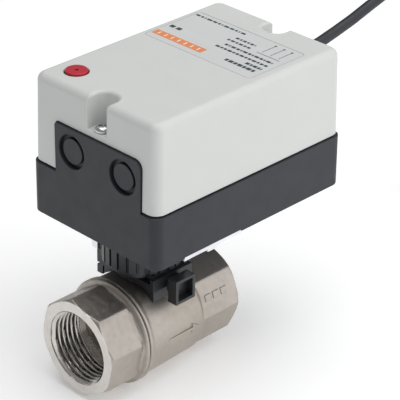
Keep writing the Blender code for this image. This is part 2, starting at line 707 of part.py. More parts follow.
def build_cover():
    low = SEAM + SEAM_GAP
    cover = housing_block("cover", INSET_LOW, INSET_HIGH, low, TOP, CORNER_R)
    bevel(cover, 1.6, segments=2, angle=70)
    inner = housing_block("cover_inside", INSET_LOW + COVER_WALL, INSET_HIGH + COVER_WALL,
                          low - 4, TOP - COVER_WALL, CORNER_R - COVER_WALL)
    cut(cover, inner)
    for end, outer, inward in (("front", FRONT_Y, 1), ("rear", REAR_Y, -1)):
        tower_x = (CHANNEL_X - CHANNEL_HALF - 2, CHANNEL_X + CHANNEL_HALF + 2)
        tower = end_wall(outer + inward * 2.2, outer + inward * (CHANNEL_DEPTH + 2.0),
                         f"{end}_tower", tower_x, LEDGE - 2.0, TOP - 1.0)
        join(cover, tower)
        notch = tongue_wall(outer - inward, outer + inward * (WALL + 2.0), f"{end}_notch",
                            low - 3, grow=0.35)
        channel = end_wall(outer - inward, outer + inward * CHANNEL_DEPTH, f"{end}_channel",
                           (CHANNEL_X - CHANNEL_HALF, CHANNEL_X + CHANNEL_HALF),
                           LEDGE, TOP + 1)
        hole = cylinder(f"{end}_cover_hole", 1.9, LEDGE - 4, LEDGE + 1,
                        (CHANNEL_X, outer + inward * SCREW_INSET), segments=12)
        cut(cover, notch, channel, hole)
        screw(f"cover_screw_{end}", (CHANNEL_X, outer + inward * SCREW_INSET), 3.2,
              (LEDGE + GAP, LEDGE + 2.4), 1.5, TONGUE_TOP - 15, 2.0, STEEL)
    cut(cover,
        cylinder("button_hole", BUTTON_R + 0.35, TOP - 5, TOP + 2, CLUTCH_AXIS, segments=28),
        box("label_recess", (LABEL_X[0] - GAP, LABEL_Y[0] - GAP, TOP - 0.7),
            (LABEL_X[1] + GAP, LABEL_Y[1] + GAP, TOP + 1)))
    finish(cover, LIGHT_GREY)
    label = box("label", (LABEL_X[0], LABEL_Y[0], TOP - 0.4), (LABEL_X[1], LABEL_Y[1], TOP))
    finish(label, SILVER_FOIL, smooth=False)


# ---- Drive -------------------------------------------------------------------

def build_output_drive():
    """Drive socket and shaft, its gear and its two switch cams."""
    shaft = turned("drive_shaft",
                   [(0, 66.0), (4.2, 66.0), (4.5, 65.7), (4.5, 50.6), (BARREL_R, 50.6),
                    (BARREL_R, 35.0), (0, 35.0)], steps=20)
    socket = box("drive_socket", (-STEM_SQUARE / 2 - GAP, -STEM_SQUARE / 2 - GAP, 34.0),
                 (STEM_SQUARE / 2 + GAP, STEM_SQUARE / 2 + GAP, STEM_TOP + GAP))
    round_part = cylinder("drive_socket_round", STEM_R + GAP, 34.0, 36.5, segments=16)
    cut(shaft, socket, round_part)
    finish(shaft, STEEL)
    gear = plate("drive_gear", [gear_points(DRIVE_TEETH, DRIVE_MODULE),
                                circle_points(6.0, 16)], *DRIVE_Z)
    hub = ring("drive_gear_hub", 4.8, 8.0, 55.6, DRIVE_Z[1] + 0.4, steps=20)
    join(gear, hub)
    finish(gear, NYLON, smooth=False)
    for name, (low, high) in (("cam_closed", CAM_LEVELS[0]), ("cam_open", CAM_LEVELS[1])):
        outline = []
        for i in range(36):
            angle = 360 * i / 36
            off = abs((angle + 180) % 360 - 180)
            rise = min(1.0, max(0.0, (50 - off) / 15))
            radius = CAM_R + (CAM_LOBE_R - CAM_R) * rise
            outline.append((radius * math.cos(math.radians(angle)),
                            radius * math.sin(math.radians(angle))))
        finish(plate(name, [outline, circle_points(4.8, 20)], low, high), NYLON, smooth=False)


def build_clutch():
    """Compound gear that the release button pushes out of mesh, on its axle,
    with the spring that lifts it back."""
    aim = math.degrees(math.atan2(-CLUTCH_AXIS[1], -CLUTCH_AXIS[0]))
    step = 360 / CLUTCH_PINION_TEETH
    # the gear's tooth nearest the pinion sits off the line of centres by this
    drive_phase = (math.degrees(math.atan2(CLUTCH_AXIS[1], CLUTCH_AXIS[0]))
                   % (360 / DRIVE_TEETH)) / (360 / DRIVE_TEETH)
    pinion_turn = aim + (0.5 + drive_phase) * step
    bore = circle_points(2.4, 16)
    gear = plate("clutch_gear",
                 [gear_points(CLUTCH_PINION_TEETH, DRIVE_MODULE, pinion_turn), bore],
                 *CLUTCH_PINION_Z, centre=CLUTCH_AXIS)
    wheel = plate("clutch_wheel",
                  [gear_points(CLUTCH_WHEEL_TEETH, FAST_MODULE), bore],
                  *CLUTCH_WHEEL_Z, centre=CLUTCH_AXIS)
    sleeve = ring("clutch_sleeve", 1.8, 3.1, CLUTCH_PINION_Z[0] - 0.3, CLUTCH_WHEEL_Z[1] + 0.3,
                  CLUTCH_AXIS, steps=18)
    join(gear, sleeve, wheel)
    finish(gear, NYLON, smooth=False)

    axle = cylinder("clutch_axle", AXLE_R, 49.4, AXLE_TOP, CLUTCH_AXIS, segments=16)
    finish(axle, STEEL)

    turns = 3
    count = turns * 10
    low, high = 52.4, CLUTCH_PINION_Z[0] - 1.1
    coil = []
    for i in range(count + 1):
        angle = 2 * math.pi * turns * i / count
        coil.append((CLUTCH_AXIS[0] + 2.9 * math.cos(angle),
                     CLUTCH_AXIS[1] + 2.9 * math.sin(angle), low + (high - low) * i / count))
    finish(tube("clutch_spring", coil, 0.3), STEEL)

    button = turned("release_button",
                    [(0, BUTTON_TOP - 0.3), (1.0, BUTTON_TOP - 0.3), (1.6, BUTTON_TOP),
                     (BUTTON_R - 0.7, BUTTON_TOP), (BUTTON_R, BUTTON_TOP - 0.7),
                     (BUTTON_R, 106.4), (6.6, 106.4), (6.6, 105.0), (2.0, 105.0),
                     (2.0, 70.0), (2.8, 70.0), (2.8, BUTTON_FOOT), (AXLE_R + GAP, BUTTON_FOOT),
                     (AXLE_R + GAP, AXLE_TOP + BUTTON_TRAVEL + GAP),
                     (0, AXLE_TOP + BUTTON_TRAVEL + GAP)],
                    CLUTCH_AXIS, steps=20)
    finish(button, RED)


def build_motor():
    """Synchronous motor on the deck, with its pinion below."""
    deck_outline = [(-33.6, -24.6), (33.6, -24.6), (33.6, 39.2), (-33.6, 39.2)]
    holes = [circle_points(3.6, 20, MOTOR_AXIS), circle_points(3.2, 20, CLUTCH_AXIS)]
    deck = plate("gear_deck", [deck_outline] + holes, *DECK_Z)
    finish(deck, ZINC, smooth=False)

    motor = cylinder("motor_body", MOTOR_R, *MOTOR_Z, MOTOR_CENTRE, segments=32)
    bevel(motor, 1.2, segments=1, angle=60)
    lugs = []
    for name, angle in (("front", -80), ("rear", 80)):
        direction = Vector((math.cos(math.radians(angle)), math.sin(math.radians(angle))))
        centre = Vector(MOTOR_CENTRE) + direction * (MOTOR_R + 2.7)
        lugs.append((name, centre))
        join(motor, cylinder(f"motor_lug_{name}", 4.0, MOTOR_Z[0] + 0.1, MOTOR_Z[0] + 1.8,
                             centre, segments=16))
    for name, centre in lugs:
        cut(motor, cylinder(f"motor_lug_hole_{name}", 1.6, 60, MOTOR_Z[0] + 2.6,
                            centre, segments=12))
        cut(deck, cylinder(f"deck_screw_hole_{name}", 1.6, 60, 80, centre, segments=12))
        screw(f"motor_screw_{name}", centre, 2.2,
              (MOTOR_Z[0] + 2.1, MOTOR_Z[0] + 3.4), 1.2, DECK_Z[0] - 0.6, 1.3, STEEL, slot=True)
    cut(motor, cylinder("motor_shaft_hole", 1.6, MOTOR_Z[0] - 1, MOTOR_Z[0] + 3, MOTOR_AXIS,
                        segments=12))
    finish(motor, MOTOR_GREY)

    aim = math.degrees(math.atan2(CLUTCH_AXIS[1] - MOTOR_AXIS[1],
                                  CLUTCH_AXIS[0] - MOTOR_AXIS[0]))
    wheel_pitch = 360 / CLUTCH_WHEEL_TEETH
    wheel_phase = ((aim + 180) % wheel_pitch) / wheel_pitch
    pinion = plate("motor_pinion",
                   [gear_points(MOTOR_TEETH, FAST_MODULE,
                                aim + (0.5 + wheel_phase) * 360 / MOTOR_TEETH)],
                   *MOTOR_PINION_Z, centre=MOTOR_AXIS)
    join(pinion, cylinder("motor_shaft", 1.3, MOTOR_PINION_Z[1] - 0.5, MOTOR_Z[0] + 2.4,
                          MOTOR_AXIS, segments=12))
    finish(pinion, STEEL, smooth=False)


def build_switches():
    """Two end switches round the cams: one at the right, one behind."""
    for name, turn, level in (("open", 0, CAM_LEVELS[1]), ("closed", 90, CAM_LEVELS[0])):
        height = sum(level) / 2
        spin = Matrix.Rotation(math.radians(turn), 4, 'Z')
        body = box(f"end_switch_{name}", (SWITCH_NEAR, -SWITCH_HALF, SWITCH_Z[0]),
                   (SWITCH_FAR, SWITCH_HALF, SWITCH_Z[1]))
        well = cylinder(f"switch_well_{name}", 1.2, SWITCH_NEAR - 1, SWITCH_NEAR + 3.2,
                        (0, height), axis='X', segments=12)
        plunger = cylinder(f"switch_plunger_{name}", 0.8, CAM_LOBE_R + GAP, SWITCH_NEAR + 1.8,
                           (0, height), axis='X', segments=12)
        bpy.context.view_layer.update()
        for obj in (body, well, plunger):
            obj.matrix_world = spin @ obj.matrix_world
        cut(body, well)
        finish(body, BLACK, smooth=False)
        finish(plunger, NYLON)


def build_electrics():
    board_outline = [(-31.0, 39.8), (31.0, 39.8), (31.0, 71.5), (-31.0, 71.5)]
    board = plate("circuit_board", [board_outline], *BOARD_Z)
    finish(board, BOARD_GREEN, smooth=False)
    terminals = box("terminal_block", (-24.0, 58.0, BOARD_Z[1] + GAP), (0.0, 67.0, 82.0))
    for i in range(5):
        x = -21.6 + 4.8 * i
        cut(terminals, cylinder(f"terminal_entry{i}", 1.5, 66.0, 68.0, (x, 77.0), axis='Y',
                                segments=8))
    finish(terminals, TERMINAL_GREEN, smooth=False)
    capacitor = cylinder("run_capacitor", 6.5, 8.0, 29.0, (52.0, 79.2), axis='X', segments=24)
    bevel(capacitor, 0.8, segments=1, angle=60)
    finish(capacitor, CAPACITOR)


# ---- Cable -------------------------------------------------------------------

CABLE_Z = GROUND + COIL_LOW + CABLE_R          # middle of the lowest turns
CABLE_ROUTE = [
    (OPENING_X[0], CABLE_EXIT_Y, OPENING_Z),
    (OPENING_X[0], 119.9, 84.6),
    (OPENING_X[0], 141.3, 89.1),
    (OPENING_X[0], 162.4, 94.8),
    (OPENING_X[0], 176.0, 95.5),
    (OPENING_X[0], 188.0, 89.5),
    (OPENING_X[0], 195.5, 77.0),
    (OPENING_X[0], 198.0, 60.0),
    (OPENING_X[0], 198.0, 40.0),
    (OPENING_X[0], 197.5, 20.0),
    (OPENING_X[0], 198.0, 4.0),
    (OPENING_X[0], 203.0, -10.0),
    (OPENING_X[0], 212.0, -17.5),
    (OPENING_X[0], 220.1, CABLE_Z),
]


def build_cable():
    x = OPENING_X[0]
    tip = CABLE_EXIT_Y - GAP
    bush = turned("cable_bush",
                  [(CABLE_R + 0.7, tip), (CABLE_R + 0.7, tip - 0.8),
                   (5.4, 86.0), (6.6, 85.6), (6.6, REAR_Y + GAP), (4.3, REAR_Y + GAP),
                   (4.3, 77.6), (CABLE_R + GAP, 77.6), (CABLE_R + GAP, tip)],
                  centre=(x, OPENING_Z), axis='Y', steps=18, closed=True)
    finish(bush, RUBBER)
    finish(cylinder("cable_inner_end", CABLE_R - 0.05, 70.8, tip, (x, OPENING_Z), axis='Y',
                    segments=12), CABLE_BLACK)
    finish(tube("cable_run", smooth_route(CABLE_ROUTE, 10.0), CABLE_R), CABLE_BLACK)

    coil = ring("cable_coil", COIL_INNER_R, COIL_OUTER_R, GROUND + COIL_LOW,
                GROUND + COIL_LOW + 4 * CABLE_R, COIL_CENTRE, steps=36)
    finish(coil, CABLE_BLACK)
    build_cable_tie()
    build_cable_end()


def build_cable_tie():
    """Band round the coil's section, at the far side of the coil."""
    x, y = COIL_CENTRE
    low, high = GROUND + COIL_LOW - GAP, GROUND + COIL_LOW + 4 * CABLE_R + GAP
    near, far = y + COIL_INNER_R - 0.5, y + COIL_OUTER_R + GAP
    tie = box("cable_tie", (x - 2, near - 0.8, low - 0.8), (x + 2, far + 0.8, high + 0.8))
    join(tie, box("tie_head", (x - 2.6, near + 2, high + 0.3), (x + 2.6, near + 7, high + 3.2)))
    cut(tie, box("tie_inside", (x - 5, near, low), (x + 5, far, high)))
    finish(tie, BLACK, smooth=False)


def build_cable_end():
    """The end, which comes down beside the coil: the sheath and three cores,
    each with a crimped ferrule."""
    x = COIL_CENTRE[0] + COIL_OUTER_R - CABLE_R
    start = CABLE_ROUTE[-1][1]
    tail = []
    for i in range(9):
        y = start + (SHEATH_END_Y - start) * i / 8
        share = min(1.0, (TAIL_DOWN_Y[0] - y) / (TAIL_DOWN_Y[0] - TAIL_DOWN_Y[1]))
        tail.append((x, y, CABLE_Z + CABLE_R * (1 + math.cos(math.pi * share))))
    finish(tube("cable_tail", tail, CABLE_R), CABLE_BLACK)
    core_start = SHEATH_END_Y - GAP
    core_end = core_start - CORE_LENGTH
    for name, angle, spread, mat in (("brown", 90, 0.0, BROWN), ("blue", 210, -4.5, BLUE),
                                     ("black", 330, 4.5, BLACK)):
        side = Vector((math.cos(math.radians(angle)), 0, math.sin(math.radians(angle))))
        near = Vector((x, core_start, CABLE_Z)) + 1.4 * side
        far = Vector((x + spread, core_end, GROUND + 1.7))
        middle = near.lerp(far, 0.5) + Vector((-0.12 * spread, 0, 0.2))
        finish(tube(f"core_{name}", smooth_route([near, middle, far], 4.0), CORE_R), mat)
        collar_end = core_end - GAP - 4
        finish(turned(f"ferrule_{name}",
                      [(0, core_end - GAP), (1.5, core_end - GAP), (1.3, collar_end),
                       (0.7, collar_end), (0.7, collar_end - FERRULE_LENGTH),
                       (0, collar_end - FERRULE_LENGTH)],
                      (far.x, far.z), axis='Y', steps=12), STEEL)


clear_scene()
PARTS = new_collection(MODEL)
TOOLS = new_collection("cutters")

NICKEL = material("nickel_plated_brass", (0.62, 0.56, 0.47), 0.28, 1.0)
CHROME = material("chromed_brass", (0.80, 0.80, 0.82), 0.10, 1.0)
STEEL = material("bright_steel", (0.62, 0.62, 0.64), 0.30, 1.0)
ZINC = material("galvanised_steel", (0.70, 0.71, 0.74), 0.38, 1.0)
PTFE = material("white_ptfe", (0.86, 0.86, 0.84), 0.45)
RUBBER = material("black_rubber", (0.02, 0.02, 0.02), 0.70)
BLACK = material("black_nylon", (0.028, 0.030, 0.032), 0.42)
ANTHRACITE = material("anthracite_plastic", (0.055, 0.060, 0.068), 0.48)
LIGHT_GREY = material("light_grey_plastic", (0.62, 0.63, 0.62), 0.50)
SILVER_FOIL = material("silver_label", (0.50, 0.51, 0.52), 0.42, 0.2)
RED = material("red_plastic", (0.55, 0.025, 0.035), 0.35)
NYLON = material("natural_nylon", (0.78, 0.75, 0.66), 0.45)
MOTOR_GREY = material("motor_can", (0.45, 0.46, 0.47), 0.35, 0.9)
BOARD_GREEN = material("circuit_board_green", (0.02, 0.16, 0.06), 0.45)
TERMINAL_GREEN = material("terminal_plastic", (0.05, 0.30, 0.12), 0.45)
CAPACITOR = material("capacitor_yellow", (0.55, 0.40, 0.05), 0.40)
CABLE_BLACK = material("black_pvc", (0.015, 0.015, 0.016), 0.50)
BROWN = material("brown_pvc", (0.14, 0.05, 0.02), 0.45)
BLUE = material("blue_pvc", (0.03, 0.10, 0.42), 0.45)

build_valve_body()
build_end_retainer()
build_seats()
build_ball()
build_stem()
build_adapter()
build_lock_fork()
build_mounting_plate()
build_base()
build_cover()
build_output_drive()
build_clutch()
build_motor()
build_switches()
build_electrics()
build_cable()
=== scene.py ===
"""Looks of the motorised two-port ball valve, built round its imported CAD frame.

Millimetres in the constants and in every helper's arguments, in the row frame:
Z is up along the valve's stem, Y is the pipe axis with the front port at -Y,
and the origin is the centre of the ball.
"""
import json
import math

import bmesh
import bpy
from mathutils import Matrix, Vector

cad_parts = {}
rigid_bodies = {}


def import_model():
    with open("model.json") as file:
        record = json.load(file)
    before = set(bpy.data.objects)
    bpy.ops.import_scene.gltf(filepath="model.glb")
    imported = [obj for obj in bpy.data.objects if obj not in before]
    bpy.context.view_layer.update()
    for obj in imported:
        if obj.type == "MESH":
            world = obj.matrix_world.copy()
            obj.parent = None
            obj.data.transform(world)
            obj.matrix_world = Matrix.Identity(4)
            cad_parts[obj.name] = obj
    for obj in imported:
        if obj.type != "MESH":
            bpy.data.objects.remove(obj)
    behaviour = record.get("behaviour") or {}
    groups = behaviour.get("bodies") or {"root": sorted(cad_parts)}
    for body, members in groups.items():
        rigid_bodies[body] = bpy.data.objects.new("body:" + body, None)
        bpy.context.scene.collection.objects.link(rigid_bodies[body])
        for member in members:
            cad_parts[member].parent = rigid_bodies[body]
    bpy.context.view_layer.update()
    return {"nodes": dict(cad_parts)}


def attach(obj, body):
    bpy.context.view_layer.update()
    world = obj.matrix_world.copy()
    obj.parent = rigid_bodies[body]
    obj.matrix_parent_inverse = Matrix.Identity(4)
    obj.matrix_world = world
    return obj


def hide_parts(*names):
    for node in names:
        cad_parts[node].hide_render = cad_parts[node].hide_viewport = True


for thing in list(bpy.data.objects):
    bpy.data.objects.remove(thing, do_unlink=True)
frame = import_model()

MM = 0.001
GAP = 0.3

# ---- Valve
PORT_FACE = 37.5
THREAD_MINOR_R = 15.15         # G1, 11 threads to the inch
THREAD_MAJOR_R = 16.6
THREAD_PITCH = 2.309
PORT_MOUTH_R = 16.45
PORT_DEPTH = 18.0
WATERWAY_R = 11.0
RIM_R = 23.4
REAR_OCT_R = 21.1
FRONT_OCT_R = 22.2
FRONT_OCT_TURN = 10.0
NECK_R = 10.0
NECK_TOP = 34.0

# ---- Adapter, with its lock fork and plate
FORK_Z = (23.3, 26.3)
SADDLE_X = (-14.0, 15.6)
SADDLE_HALF_Y = 8.9
SADDLE_Z = (15.5, 29.35)
ARM_Y = (6.1, 8.7)
CLAW_X = (-18.3, -14.9)
CLAW_Y = (5.9, 8.9)
CLAW_Z = (17.1, 28.8)
CLAW_NOTCH_Z = (20.9, 22.1)
FORK_BAR_X = (15.9, 17.9)
FORK_BAR_TOP = 28.6
PRONG_TIP_X = -13.5
PRONG_Y = (8.6, 11.1)
PRONG_SLOT_Y = (8.3, 12.0)
GRIP_NECK_HALF_Y = 3.0
GRIP_NECK_Z = (21.0, 27.0)
GRIP_X = (20.6, 25.4)
GRIP_HALF_Y = 5.45
GRIP_Z = (17.9, 29.0)
GRIP_HOLLOW_HALF_Y = 4.05
GRIP_HOLLOW_Z = (19.3, 27.6)
PLATE_RECESS = ((-30.3, -11.9), 20.7, 48.4)     # low corner, far side and top
PLATE_SCREW = (22.0, 12.0)

# ---- Housing
HALF_X = 36.65
FRONT_Y = -27.7
REAR_Y = 80.9
BASE_LOW = 47.4
SEAM = 70.7
COVER_LOW = 71.2
TOP = 109.9
CORNER_R = 4.6
WALL = 2.5
COVER_WALL = 2.0
INSET_LOW = 0.7
INSET_HIGH = 1.35
TOP_FILLET = 3.4
TONGUE_X = (-21.7, 27.9)
TONGUE_TOP = 92.9
TONGUE_CORNERS = (1.5, 3.5)
OPENING_X = (-11.7, 17.75)
OPENING_Z = 82.8
OPENING_R = 7.4
KNOCKOUT_GROOVE = 1.8
KNOCKOUT_DEEP = 1.9
KNOCKOUT_SUNK = 0.6
CHANNEL_X = 2.1
CHANNEL_HALF = 5.6
CHANNEL_DEPTH = 10.8
LEDGE = 95.7
SCREW_INSET = 4.6
CLUTCH_AXIS = (-23.11, -13.96)
BUTTON_R = 4.9
BUTTON_TOP = 111.3
LABEL_X = (-30.9, 29.2)
LABEL_Y = (30.7, 63.4)
ENDS = (("front", FRONT_Y, 1), ("rear", REAR_Y, -1))
LOW_POSTS = ((-30.0, 29.0), (30.0, 29.0), (30.0, -20.5))
LOW_POST_TOP = 68.3
HIGH_POSTS = ((-27.0, 44.0), (-27.0, 68.0), (27.0, 44.0), (27.0, 68.0))
HIGH_POST_TOP = 70.1

# ---- Cable
GROUND = -23.4
CABLE_R = 2.5
CABLE_X = -11.7
CABLE_LOW_Z = -19.7
CABLE_HIGH_Z = -14.65
COIL_CENTRE = (18.3, 238.0)
COIL_TURN_R = (30.0, 24.95)    # middle of the outer and the inner turns
COIL_TURNS = 3.5
COIL_STEP = 9.0                # degrees between points of the coil
TURN_IN = (265, 330)           # degrees along the coil at which it changes layer
CLIMB = (560, 632)
TURN_OUT = (868, 930)
CABLE_ROUTE = [
    (CABLE_X, 106.3, 82.8),
    (CABLE_X, 119.9, 84.6),
    (CABLE_X, 141.3, 89.1),
    (CABLE_X, 162.4, 94.8),
    (CABLE_X, 176.0, 95.5),
    (CABLE_X, 188.0, 89.5),
    (CABLE_X, 195.5, 77.0),
    (CABLE_X, 198.0, 60.0),
    (CABLE_X, 198.0, 40.0),
    (CABLE_X, 197.5, 20.0),
    (CABLE_X, 198.0, 4.0),
    (CABLE_X, 203.0, -10.0),
    (CABLE_X, 212.0, -17.5),
    (CABLE_X, 220.1, CABLE_LOW_Z),
]
TAIL_DOWN_Y = (228.0, 206.0)
SHEATH_END_Y = 204.0


# ---- Camera ------------------------------------------------------------------

def add_camera():
    data = bpy.data.cameras.new("camera")
    data.sensor_width = 36.0
    data.lens = 172.79
    right = Vector((0.7081, 0.7061, 0.0114)).normalized()
    back = Vector((0.6138, -0.6237, 0.4840)).normalized()
    up = back.cross(right).normalized()
    right = up.cross(back)
    camera = bpy.data.objects.new("camera", data)
    turn = Matrix((right, up, back)).transposed().to_4x4()
    camera.matrix_world = Matrix.Translation((0.49795, -0.4725, 0.4350)) @ turn
    bpy.context.scene.collection.objects.link(camera)
    bpy.context.scene.camera = camera


# ---- Mesh helpers ------------------------------------------------------------

def link(name, data):
    obj = bpy.data.objects.new(name, data)
    bpy.context.scene.collection.objects.link(obj)
    return obj


def from_bmesh(name, bm):
    bmesh.ops.recalc_face_normals(bm, faces=bm.faces)
    mesh = bpy.data.meshes.new(name)
    bm.to_mesh(mesh)
    bm.free()
    return link(name, mesh)


def loft(name, rings, closed=False):
    """A skin over rings of equally many points, capped unless it closes on itself."""
    bm = bmesh.new()
    rows = [[bm.verts.new(Vector(p) * MM) for p in ring] for ring in rings]
    pairs = list(zip(rows, rows[1:]))
    if closed:
        pairs.append((rows[-1], rows[0]))
    for a, b in pairs:
        for i in range(len(a)):
            j = (i + 1) % len(a)
            bm.faces.new((a[i], a[j], b[j], b[i]))
    if not closed:
        bm.faces.new(rows[0])
        bm.faces.new(rows[-1])
    return from_bmesh(name, bm)


def on_axis(axis, centre, u, v, h):
    """The point at u, v across an axis and h along it; centre is in the order x, y, z."""
    if axis == 'X':
        return (h, centre[0] + u, centre[1] + v)
    if axis == 'Y':
        return (centre[0] + u, h, centre[1] + v)
    return (centre[0] + u, centre[1] + v, h)


def circle(radius, steps, turn=0.0):
    return [(radius * math.cos(2 * math.pi * i / steps + math.radians(turn)),
             radius * math.sin(2 * math.pi * i / steps + math.radians(turn)))
            for i in range(steps)]


def lathe(name, profile, centre=(0, 0), axis='Z', steps=64, closed=False):
    """A turned piece from (radius, height) pairs, none of them on the axis."""
    rings = [[on_axis(axis, centre, u, v, h) for u, v in circle(r, steps)]
             for r, h in profile]
    return loft(name, rings, closed)


def prism(name, outline, low, high, centre=(0, 0), axis='Z'):
    return loft(name, [[on_axis(axis, centre, u, v, h) for u, v in outline]
                       for h in (low, high)])


def block(name, low, high):
    outline = [(low[0], low[1]), (high[0], low[1]), (high[0], high[1]), (low[0], high[1])]
    return prism(name, outline, low[2], high[2])


def span(side, near, far):
    """The low and the high Y of what lies between near and far on one side."""
    return sorted((side * near, side * far))


def arc(centre, radius, start, end, steps):
    return [(centre[0] + radius * math.cos(math.radians(start + (end - start) * i / steps)),
             centre[1] + radius * math.sin(math.radians(start + (end - start) * i / steps)))
            for i in range(steps + 1)]


def rounded(low, high, radius, steps=8):
    """Outline of a rectangle with round corners, anticlockwise."""
    (x0, y0), (x1, y1) = low, high
    return (arc((x1 - radius, y1 - radius), radius, 0, 90, steps)
            + arc((x0 + radius, y1 - radius), radius, 90, 180, steps)
            + arc((x0 + radius, y0 + radius), radius, 180, 270, steps)
            + arc((x1 - radius, y0 + radius), radius, 270, 360, steps))


def settle(obj):
    """Apply an object's modifiers."""
    depsgraph = bpy.context.evaluated_depsgraph_get()
    mesh = bpy.data.meshes.new_from_object(obj.evaluated_get(depsgraph))
    obj.modifiers.clear()
    obj.data = mesh
    return obj


def boolean(obj, tool, operation):
    mod = obj.modifiers.new("boolean", 'BOOLEAN')
    mod.operation = operation
    mod.solver = 'EXACT'
    mod.object = tool
    settle(obj)
    bpy.data.objects.remove(tool, do_unlink=True)
    return obj


def cut(obj, *tools):
    for tool in tools:
        boolean(obj, tool, 'DIFFERENCE')
    return obj


def join(obj, *tools):
    for tool in tools:
        boolean(obj, tool, 'UNION')
    return obj


def soften(obj, width, segments=2, angle=40):
    mod = obj.modifiers.new("soft_edges", 'BEVEL')
    mod.width = width * MM
    mod.segments = segments
    mod.limit_method = 'ANGLE'
    mod.angle_limit = math.radians(angle)
    mod.use_clamp_overlap = True
    return settle(obj)


def cast(obj, voxel, rounds):
    """Round every edge of a blank a little, as a casting's are."""
    mod = obj.modifiers.new("skin", 'REMESH')
    mod.mode = 'VOXEL'
    mod.voxel_size = voxel * MM
    mod = obj.modifiers.new("rounding", 'SMOOTH')
    mod.factor = 0.5
    mod.iterations = rounds
    return settle(obj)


def shade(obj, angle=35):
    obj.data.shade_smooth()
    obj.data.set_sharp_from_angle(angle=math.radians(angle))
    mod = obj.modifiers.new("normals", 'WEIGHTED_NORMAL')
    mod.keep_sharp = True
    mod.weight = 100
    return settle(obj)


def place(obj, mat, body="housing", replaces=()):
    obj.data.materials.clear()
    obj.data.materials.append(mat)
    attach(obj, body)
    if replaces:
        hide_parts(*replaces)
    return obj


# ---- Materials ---------------------------------------------------------------

class Nodes:
    """A material's node tree, with short calls for what the finishes share."""

    def __init__(self, name):
        self.mat = bpy.data.materials.new(name)
        self.mat.use_nodes = True
        self.tree = self.mat.node_tree
        self.shader = self.tree.nodes["Principled BSDF"]
        self.coords = self.add('ShaderNodeTexCoord').outputs["Object"]

    def add(self, kind, **settings):
        node = self.tree.nodes.new(kind)
        for key, value in settings.items():
            setattr(node, key, value)
        return node

    def join(self, output, socket):
        self.tree.links.new(output, socket)

    def noise(self, scale, detail=3.0, stretch=None):
        node = self.add('ShaderNodeTexNoise')
        node.inputs["Scale"].default_value = scale
        node.inputs["Detail"].default_value = detail
        source = self.coords
        if stretch:
            mapping = self.add('ShaderNodeMapping')
            mapping.inputs["Scale"].default_value = stretch
            self.join(source, mapping.inputs["Vector"])
            source = mapping.outputs["Vector"]
        self.join(source, node.inputs["Vector"])
        return node.outputs["Fac"]

    def ramp(self, fac, low, high, span=(0.3, 0.7)):
        """low to high as fac goes over span; each is a colour or a grey."""
        node = self.add('ShaderNodeValToRGB')
        for stop, at, value in zip(node.color_ramp.elements, span, (low, high)):
            stop.position = at
            stop.color = (*value, 1.0) if isinstance(value, tuple) else (value,) * 3 + (1.0,)
        self.join(fac, node.inputs["Fac"])
        return node.outputs["Color"]

    def mix(self, fac, a, b):
        node = self.add('ShaderNodeMix', data_type='RGBA')
        self.join(fac, node.inputs[0])
        self.join(a, node.inputs[6])
        self.join(b, node.inputs[7])
        return node.outputs[2]

    def math(self, operation, a, b):
        node = self.add('ShaderNodeMath', operation=operation)
        for socket, value in zip(node.inputs, (a, b)):
            if isinstance(value, (int, float)):
                socket.default_value = value
            else:
                self.join(value, socket)
        return node.outputs["Value"]

    def bump(self, height, strength, distance, under=None):
        node = self.add('ShaderNodeBump')
        node.inputs["Strength"].default_value = strength
        node.inputs["Distance"].default_value = distance * MM
        self.join(height, node.inputs["Height"])
        if under:
            self.join(under, node.inputs["Normal"])
        return node.outputs["Normal"]

    def finish(self, colour, roughness, normal, metallic=0.0):
        self.join(colour, self.shader.inputs["Base Color"])
        self.join(roughness, self.shader.inputs["Roughness"])
        self.join(normal, self.shader.inputs["Normal"])
        self.shader.inputs["Metallic"].default_value = metallic
        return self.mat


def shift(colour, by):
    return tuple(max(0.0, min(1.0, c * by)) for c in colour)


def plastic(name, colour, rough, grain=0.3, depth=0.012, spread=0.03, specular=0.5):
    """Moulded plastic: a spark-eroded grain of that size, faintly uneven in tone."""
    n = Nodes(name)
    tone = n.ramp(n.noise(45.0, 2.0), shift(colour, 1 - spread), shift(colour, 1 + spread))
    polish = n.ramp(n.noise(140.0, 4.0), rough - 0.05, rough + 0.06)
    fine = n.bump(n.noise(1.0 / (grain * MM), 2.0), 0.35, depth)
    swell = n.bump(n.noise(60.0, 1.0), 0.10, 0.06, fine)
    n.shader.inputs["Specular IOR Level"].default_value = specular
    return n.finish(tone, polish, swell)


def metal(name, colour, rough, grain=0.4, depth=0.010, spread=0.06):
    """Bare or plated metal, with a fine skin of that grain size."""
    n = Nodes(name)
    tone = n.ramp(n.noise(90.0, 4.0), shift(colour, 1 - spread), shift(colour, 1 + spread))
    polish = n.ramp(n.noise(260.0, 4.0), max(0.03, rough - 0.06), rough + 0.08)
    fine = n.bump(n.noise(1.0 / (grain * MM), 3.0), 0.4, depth)
    return n.finish(tone, polish, fine, 1.0)


